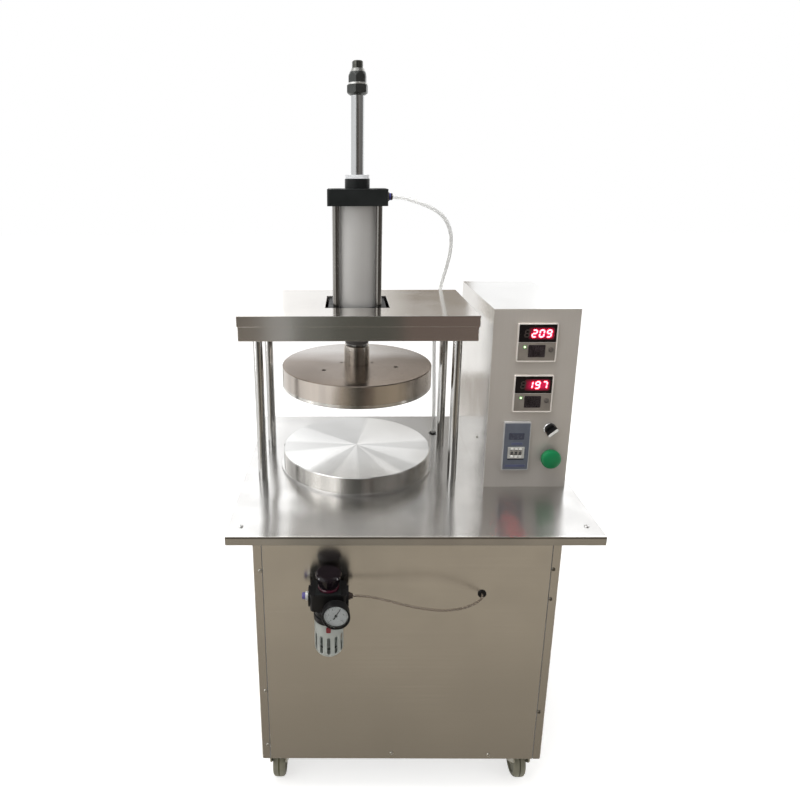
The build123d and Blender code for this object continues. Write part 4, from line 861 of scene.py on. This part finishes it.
lamp_outline = [(0.0021, 0), (0.0021, 0.0005), (0.0015, 0.0009)]
preset_y = -0.0155
preset_pitch = 0.0094
preset_depth = 0.0003
preset_size = dict(width=0.031, height=0.0232, depth=preset_depth, corner=face_corner)
knob_x = 0.026
knob_y = -0.013
knob_angle = 35
knob_outline = [(0.0046, 0), (0.0046, 0.0006), (0.0038, 0.0009), (0.0036, 0.0022), (0.003, 0.0027)]


def segment_bar(bm, matrix, start, end, width):
    """One bar of a lit digit, with pointed ends."""
    a, b = Vector(start), Vector(end)
    along = (b - a).normalized()
    aside = Vector((-along.y, along.x)) * width / 2
    gap = along * width * SEGMENT_GAP
    tip = along * width * SEGMENT_TIP
    a, b = a + gap, b - gap
    outline = [a, a + tip - aside, b - tip - aside, b, b - tip + aside, a + tip + aside]
    points = [(p.x + slant * p.y, p.y) for p in outline]
    loop_stack(bm, [[(x, y, z) for x, y in points] for z in (0.0, segment_depth)], matrix)


def digit(bm, matrix, figure):
    w, h = digit_width / 2, digit_height / 2
    ends = {
        "a": ((-w, h), (w, h)),
        "b": ((w, h), (w, 0)),
        "c": ((w, 0), (w, -h)),
        "d": ((-w, -h), (w, -h)),
        "e": ((-w, 0), (-w, -h)),
        "f": ((-w, h), (-w, 0)),
        "g": ((-w, 0), (w, 0)),
    }
    for key in SEGMENTS[figure]:
        segment_bar(bm, matrix, *ends[key], segment_width)


def controller(name, z, figures):
    """The face of one controller: display, lamp, preset window and set knob."""
    face = front(controller_x, controller_face, z)

    def at(x, y, lift=0.0):
        return face @ Matrix.Translation((x, y, lift))

    plate_piece(f"{name}_display", display_black, at(0, display_y), **display_size)
    spot = at(backlight_x, display_y, display_depth)
    plate_piece(f"{name}_backlight", display_red, spot, **backlight_size)
    lit = bmesh.new()
    for i, figure in enumerate(figures):
        digit(lit, at(digits_x + (i - 1) * digit_pitch, display_y, display_depth + backlight_depth), figure)
    piece(f"{name}_digits", lit, digit_light, "machine", False)
    unlit = bmesh.new()
    digit(unlit, at(digits_x - 2 * digit_pitch, display_y, display_depth), "8")
    piece(f"{name}_unlit_digit", unlit, digit_dark, "machine", False)
    plate_piece(f"{name}_lower_face", panel_grey, at(0, lower_y), **lower_size)
    lathe_piece(f"{name}_lamp_ring", lamp_ring, at(lamp_x, lamp_y, lower_depth), ring_outline, 24)
    spot = at(lamp_x, lamp_y, lower_depth + ring_outline[-1][1])
    lathe_piece(f"{name}_lamp", lamp_green, spot, lamp_outline, 20)
    bm = bmesh.new()
    plate(bm, at(0, preset_y, lower_depth), **preset_size)
    for i in (-1, 0, 1):
        spot = at(i * preset_pitch, preset_y, lower_depth + preset_depth)
        plate(bm, spot, width=0.0088, height=0.0195, depth=0.0002)
    piece(f"{name}_preset_window", bm, preset_dark, "machine")
    bm = bmesh.new()
    lathe(bm, at(knob_x, knob_y, lower_depth), knob_outline, 32)
    ridge = at(knob_x, knob_y, lower_depth + knob_outline[-1][1]) @ turn(knob_angle)
    plate(bm, ridge, width=0.0056, height=0.0012, depth=0.0004, corner=0.0004, edge=0.0002)
    piece(f"{name}_set_knob", bm, knob_grey, "machine")


controller("upper_controller", upper_controller_z, "209")
controller("lower_controller", lower_controller_z, "197")


# Timer

timer_face = front(timer_x, bezel_front, timer_z)
timer_size = (0.0475, 0.0945)
timer_opening = (0.0318, 0.0238)
timer_depth = 0.0005
block_size = (0.0315, 0.0235)
block_opening = (0.0241, 0.0102)
block_depth = 0.0014
bump_row = 0.0079
wheel_faces = 10
square_depth = 0.00008
print_depth = 0.00006
numeral_size = 0.0036


def on_timer(x, y, lift=timer_depth):
    return timer_face @ Matrix.Translation((x, y, lift))


bm = bmesh.new()
frame_plate(bm, timer_face, timer_size, timer_opening, (0, wheel_drop), timer_depth, corner=0.0015)
piece("timer_face", bm, timer_blue, "machine")
spot = on_timer(-0.001, 0.0211)
plate_piece("timer_window", window_blue, spot, width=0.029, height=0.0135, depth=0.0005)
bm = bmesh.new()
plate(bm, on_timer(0.0005, 0.0058), width=0.022, height=0.0045, depth=0.0004)
plate(bm, on_timer(0, -0.0398), width=0.039, height=0.005, depth=0.0003)
piece("timer_bars", bm, bar_blue, "machine")
bm = bmesh.new()
spot = on_timer(0, wheel_drop, 0)
frame_plate(bm, spot, block_size, block_opening, (0, 0), block_depth, corner=0.0012)
piece("thumbwheel_frame", bm, block_grey, "machine")
bm = bmesh.new()
for row in (-bump_row, bump_row):
    for i in (-1, 0, 1):
        spot = on_timer(i * wheel_pitch, wheel_drop + row, block_depth)
        plate(bm, spot, width=0.0054, height=0.0048, depth=0.0006, corner=0.002, edge=0.0004)
piece("thumbwheel_bumps", bm, white_plastic, "machine")
spot = on_timer(0, wheel_drop - 0.0137)
plate_piece("thumbwheel_line", ink, spot, width=0.031, height=0.0018, depth=0.0003, corner=0.0006)
for i, name in ((-1, "hundreds"), (0, "tens"), (1, "units")):
    squares = bmesh.new()
    numerals = bmesh.new()
    reach = wheel_radius * math.cos(math.pi / wheel_faces)
    for number in range(wheel_faces):
        angle = 2 * math.pi * number / wheel_faces
        way = Vector((0, -math.cos(angle), math.sin(angle)))
        up = Vector((0, math.sin(angle), math.cos(angle)))
        spot = facing(Vector((timer_x + i * wheel_pitch, wheel_axis_y, wheel_z)) + way * reach, way, up)
        plate(squares, spot, 0.0046, 0.0044, square_depth, corner=0.0008, edge=0.00003)
        spot = spot @ Matrix.Translation((0, 0, square_depth))
        lettering(numerals, str(number), numeral_size, spot, print_depth)
    piece(f"{name}_squares", squares, ink, f"{name}_wheel", False)
    piece(f"{name}_numerals", numerals, dial_white, f"{name}_wheel", False)


# Selector pointer

pointer_size = dict(width=0.0222, height=0.005, depth=0.0006, corner=0.0024)
spot = front(selector_x, selector_front, selector_z) @ turn(selector_angle)
plate_piece("selector_pointer", white_plastic, spot, "selector", **pointer_size)


# Gauge dial, with angles in degrees

dial_hole = 0.0012
dial_radius = 0.02
dial_depth = 0.0001
scale_start = 225
scale_sweep = 270
tick_gaps = 30
tick_radius = 0.0184
long_tick = (0.003, 0.0006)
short_tick = (0.0016, 0.0003)
numeral_gaps = 5
numeral_radius = 0.0127
dial_outline = [(dial_hole, 0.0), (dial_radius, 0.0), (dial_radius, dial_depth), (dial_hole, dial_depth)]
dial_face = front(gauge_x, dial_y - dial_depth, gauge_z)

lathe_piece("gauge_dial", dial_white, front(gauge_x, dial_y, gauge_z), dial_outline, 64)
bm = bmesh.new()
for i in range(tick_gaps + 1):
    length, width = short_tick if i % 5 else long_tick
    spot = dial_face @ turn(scale_start - scale_sweep * i / tick_gaps)
    spot = spot @ Matrix.Translation((tick_radius - length / 2, 0, 0))
    plate(bm, spot, length, width, print_depth, corner=width * 0.4, edge=0.00002)
for i in range(numeral_gaps + 1):
    angle = math.radians(scale_start - scale_sweep * i / numeral_gaps)
    spot = Matrix.Translation((numeral_radius * math.cos(angle), numeral_radius * math.sin(angle), 0))
    lettering(bm, str(2 * i), numeral_size, dial_face @ spot, print_depth)
piece("gauge_scale", bm, ink, "machine", False)


# Rod thread above the lock nut

thread_bottom = 1.3595
thread_top = 1.3695
thread_radius = 0.00975
thread_pitch = 0.002
thread_depth = 0.0004
thread_segments = 36
# Section of the ridge: how far it stands out, and its height as a share of the pitch
ridge_section = ((-0.0004, -0.42), (thread_depth, -0.05), (thread_depth, 0.05), (-0.0004, 0.42))

bm = bmesh.new()
previous = None
for i in range(int((thread_top - thread_bottom) / thread_pitch * thread_segments) + 1):
    angle = 2 * math.pi * i / thread_segments
    z = thread_bottom + thread_pitch * i / thread_segments
    ring = []
    for out, lift in ridge_section:
        r = thread_radius + out
        place = (press_x + r * math.cos(angle), press_y + r * math.sin(angle), z + lift * thread_pitch)
        ring.append(bm.verts.new(place))
    if previous:
        for k in range(4):
            n = (k + 1) % 4
            bm.faces.new((previous[k], previous[n], ring[n], ring[k]))
    else:
        bm.faces.new(ring)
    previous = ring
bm.faces.new(list(reversed(previous)))
piece("rod_thread", bm, dark_nut, "press")


# Caster bolts

bolt_reach = 0.0205
bolt_outline = [(0.0055, 0), (0.0055, 0.0004), (0.005, 0.0006), (0.005, 0.0036), (0.0042, 0.004)]
bm = bmesh.new()
for x, y in caster_spots:
    for dx in (-bolt_reach, bolt_reach):
        for dy in (-bolt_reach, bolt_reach):
            spot = facing((x + dx, y + dy, caster_plate_z), (0, 0, -1), (0, 1, 0))
            lathe(bm, spot, bolt_outline, 6)
piece("caster_bolts", bm, zinc, "machine")


# Camera at the photograph's place, with the lengths in its image in pixels

image_size = 800
focal_length = 614.98
image_centre = (342.63, 348.0)
sensor_width = 36.0
camera_place = (-0.11443, -1.14825, 1.1701)
yaw = math.radians(-0.398)
pitch = math.radians(15.482)
roll = math.radians(0.223)
forward = Vector((math.sin(yaw) * math.cos(pitch), math.cos(yaw) * math.cos(pitch), -math.sin(pitch)))
level_right = Vector((math.cos(yaw), -math.sin(yaw), 0))
level_down = forward.cross(level_right)
right = math.cos(roll) * level_right + math.sin(roll) * level_down
down = -math.sin(roll) * level_right + math.cos(roll) * level_down
lens = bpy.data.cameras.new("camera")
lens.sensor_width = sensor_width
lens.lens = focal_length / image_size * sensor_width
lens.shift_x = (image_size / 2 - image_centre[0]) / image_size
lens.shift_y = (image_centre[1] - image_size / 2) / image_size
lens.clip_end = 100.0
camera = bpy.data.objects.new("camera", lens)
camera_axes = Matrix((right, -down, -forward)).transposed()
camera.matrix_world = Matrix.Translation(camera_place) @ camera_axes.to_4x4()
scene.collection.objects.link(camera)
scene.camera = camera


# Floor, light and background

scene.view_settings.view_transform = "Standard"


def seen_directly(tree):
    """One for rays from the camera, mirrors and glass, so that they all show the same background."""
    rays = tree.nodes.new("ShaderNodeLightPath")
    mirrored = combine(tree, "MAXIMUM", rays.outputs["Is Camera Ray"], rays.outputs["Is Glossy Ray"])
    return combine(tree, "MAXIMUM", mirrored, rays.outputs["Is Transmission Ray"])


ambient_light = 0.42
world = bpy.data.worlds.new("studio")
world.use_nodes = True
scene.world = world
tree = world.node_tree
background = tree.nodes["Background"]
strength = spread(tree, seen_directly(tree), ambient_light, 1.0, (0.0, 1.0))
tree.links.new(strength, background.inputs["Strength"])
background.inputs["Color"].default_value = (1.0, 1.0, 1.0, 1.0)

# The floor is lifted to white, and a little more far away, where the lamps reach it less
floor_lift = 0.6
far_floor_lift = 0.72
floor_lift_span = (1.2, 4.0)
floor_size = 12.0
floor_mat, tree, shader = new_material("floor")
shader.inputs["Base Color"].default_value = (0.86, 0.85, 0.83, 1.0)
shader.inputs["Roughness"].default_value = 0.9
shader.inputs["Specular IOR Level"].default_value = 0.0
shader.inputs["Emission Color"].default_value = (1.0, 1.0, 1.0, 1.0)
geometry = add_node(tree, "ShaderNodeNewGeometry")
distance = add_node(tree, "ShaderNodeVectorMath", Vector=geometry.outputs["Position"])
distance.operation = "LENGTH"
lift = spread(tree, distance.outputs["Value"], floor_lift, far_floor_lift, floor_lift_span)
tree.links.new(combine(tree, "MULTIPLY", lift, seen_directly(tree)), shader.inputs["Emission Strength"])

bm = bmesh.new()
bmesh.ops.create_grid(bm, x_segments=1, y_segments=1, size=floor_size)
mesh = bpy.data.meshes.new("floor")
bm.to_mesh(mesh)
bm.free()
mesh.materials.append(floor_mat)
floor = bpy.data.objects.new("floor", mesh)
scene.collection.objects.link(floor)


def reflected_card(name, corners, first_color, last_color, axis, first, last):
    """A surface that only mirrors see, as a part of what stands around the machine."""
    mat, tree, _ = new_material(name)
    tree.nodes.clear()
    geometry = add_node(tree, "ShaderNodeNewGeometry")
    split = add_node(tree, "ShaderNodeSeparateXYZ", Vector=geometry.outputs["Position"])
    share = spread(tree, split.outputs[axis], 0.0, 1.0, (first, last))
    shade = mix_colors(tree, share, first_color, last_color)
    light = add_node(tree, "ShaderNodeEmission", Color=shade)
    out = tree.nodes.new("ShaderNodeOutputMaterial")
    tree.links.new(light.outputs["Emission"], out.inputs["Surface"])
    mesh = bpy.data.meshes.new(name)
    mesh.from_pydata(corners, [], [(0, 1, 2, 3)])
    mesh.materials.append(mat)
    made = bpy.data.objects.new(name, mesh)
    scene.collection.objects.link(made)
    made.visible_camera = False
    made.visible_diffuse = False
    made.visible_transmission = False
    made.visible_shadow = False


def across(left, right, y, low, high):
    """Corners of an upright card that faces the front or the back."""
    return [(left, y, low), (right, y, low), (right, y, high), (left, y, high)]


def sideways(x, near, far, low, high):
    """Corners of an upright card that faces a side."""
    return [(x, near, low), (x, far, low), (x, far, high), (x, near, high)]


def lying(left, right, near, far, z):
    """Corners of a level card."""
    return [(left, near, z), (right, near, z), (right, far, z), (left, far, z)]


def grey(level):
    return (level, level, level)


# What the steel mirrors in front of the machine, and then behind it
wall_y = -2.6
wall_left = -1.3
wall_right = 2.4
wall_top = 3.2
floor_edge = -0.235
above_floor = 0.004
window_y = 2.45
rear_y = 2.5
room_left = -0.35
room_right = 1.05

corners = across(wall_left, wall_right, wall_y, 0, wall_top)
reflected_card("front_wall", corners, (0.13, 0.115, 0.1), (0.36, 0.35, 0.335), "Z", 0.3, 2.4)
corners = lying(wall_left, wall_right, wall_y, floor_edge, above_floor)
reflected_card("front_floor", corners, (0.475, 0.42, 0.335), (0.29, 0.256, 0.204), "Y", -0.8, -0.3)
corners = sideways(wall_right, wall_y, 0.7, 0, wall_top)
reflected_card("right_wall", corners, (0.14, 0.13, 0.12), (0.3, 0.29, 0.28), "Z", 0.3, 2.4)
corners = across(-0.34, 0.12, -1.5, 0, 1.75)
reflected_card("front_figure", corners, (0.15, 0.152, 0.138), (0.078, 0.078, 0.068), "X", -0.22, -0.14)
corners = across(-0.46, -0.34, -1.55, 0.25, 1.2)
reflected_card("front_gap", corners, (0.36, 0.36, 0.355), (0.3, 0.3, 0.29), "Z", 0.3, 1.2)
corners = across(0.11, 0.6, -1.6, 0, 1.5)
reflected_card("front_right", corners, (0.18, 0.15, 0.128), (0.13, 0.1, 0.088), "Z", 0.0, 0.6)
corners = lying(-1.0, wall_right, wall_y, 0.4, 3.3)
reflected_card("front_ceiling", corners, (0.2, 0.195, 0.185), (0.13, 0.125, 0.12), "X", -1.0, 0.5)
corners = lying(-1.0, 0.6, -1.9, -0.9, 3.25)
reflected_card("ceiling_lamp", corners, grey(1.0), grey(0.9), "X", -1.0, 0.6)
for name, x, y in (("left_lamp", -1.5, -0.46), ("right_lamp", 1.5, -0.58)):
    corners = sideways(x, y - 0.1, y + 0.1, 0.45, 0.6)
    reflected_card(name, corners, grey(12.0), grey(11.0), "Z", 0.45, 0.6)
for name, left, right, level in (
    ("left_window", -2.6, -0.5, 1.45),
    ("middle_window", -0.5, room_left, 1.02),
    ("right_window", room_right, 3.0, 1.45),
):
    corners = across(left, right, window_y, 1.1, 3.2)
    reflected_card(name, corners, grey(level), grey(2.2), "Z", 1.85, 2.2)
corners = across(room_left, room_right, rear_y, 2.1, 4.2)
reflected_card("rear_ceiling", corners, (1.3, 1.29, 1.27), (0.3, 0.295, 0.28), "X", room_left, 0.12)
corners = across(0.42, 1.0, rear_y, 1.7, 2.1)
reflected_card("rear_right", corners, (0.7, 0.68, 0.65), (0.36, 0.34, 0.31), "X", 0.42, 0.6)
corners = lying(-0.75, -0.15, 1.5, 2.48, above_floor)
reflected_card("rear_floor", corners, (0.6, 0.56, 0.52), (0.5, 0.46, 0.42), "Y", 1.5, 2.48)
corners = across(0.0, 0.62, rear_y, 0.95, 1.6)
reflected_card("rear_shade", corners, (0.75, 0.73, 0.7), (0.3, 0.265, 0.225), "X", 0.0, 0.3)


def area_light(name, place, target, size, power, glossy=True):
    """A soft square lamp that looks at a target, and that mirrors may be kept from showing."""
    lamp = bpy.data.lights.new(name, "AREA")
    lamp.shape = "RECTANGLE"
    lamp.size = size
    lamp.size_y = size
    lamp.energy = power
    made = bpy.data.objects.new(name, lamp)
    made.matrix_world = facing(place, Vector(place) - Vector(target))
    scene.collection.objects.link(made)
    made.visible_glossy = glossy


area_light("key", (-2.2, -1.6, 2.8), (0, 0, 0.7), size=2.2, power=28)
area_light("fill", (2.4, -1.2, 1.8), (0, 0, 0.6), size=1.8, power=11, glossy=False)
area_light("top", (-0.3, -0.6, 3.2), (0, 0, 0.6), size=1.2, power=52, glossy=False)
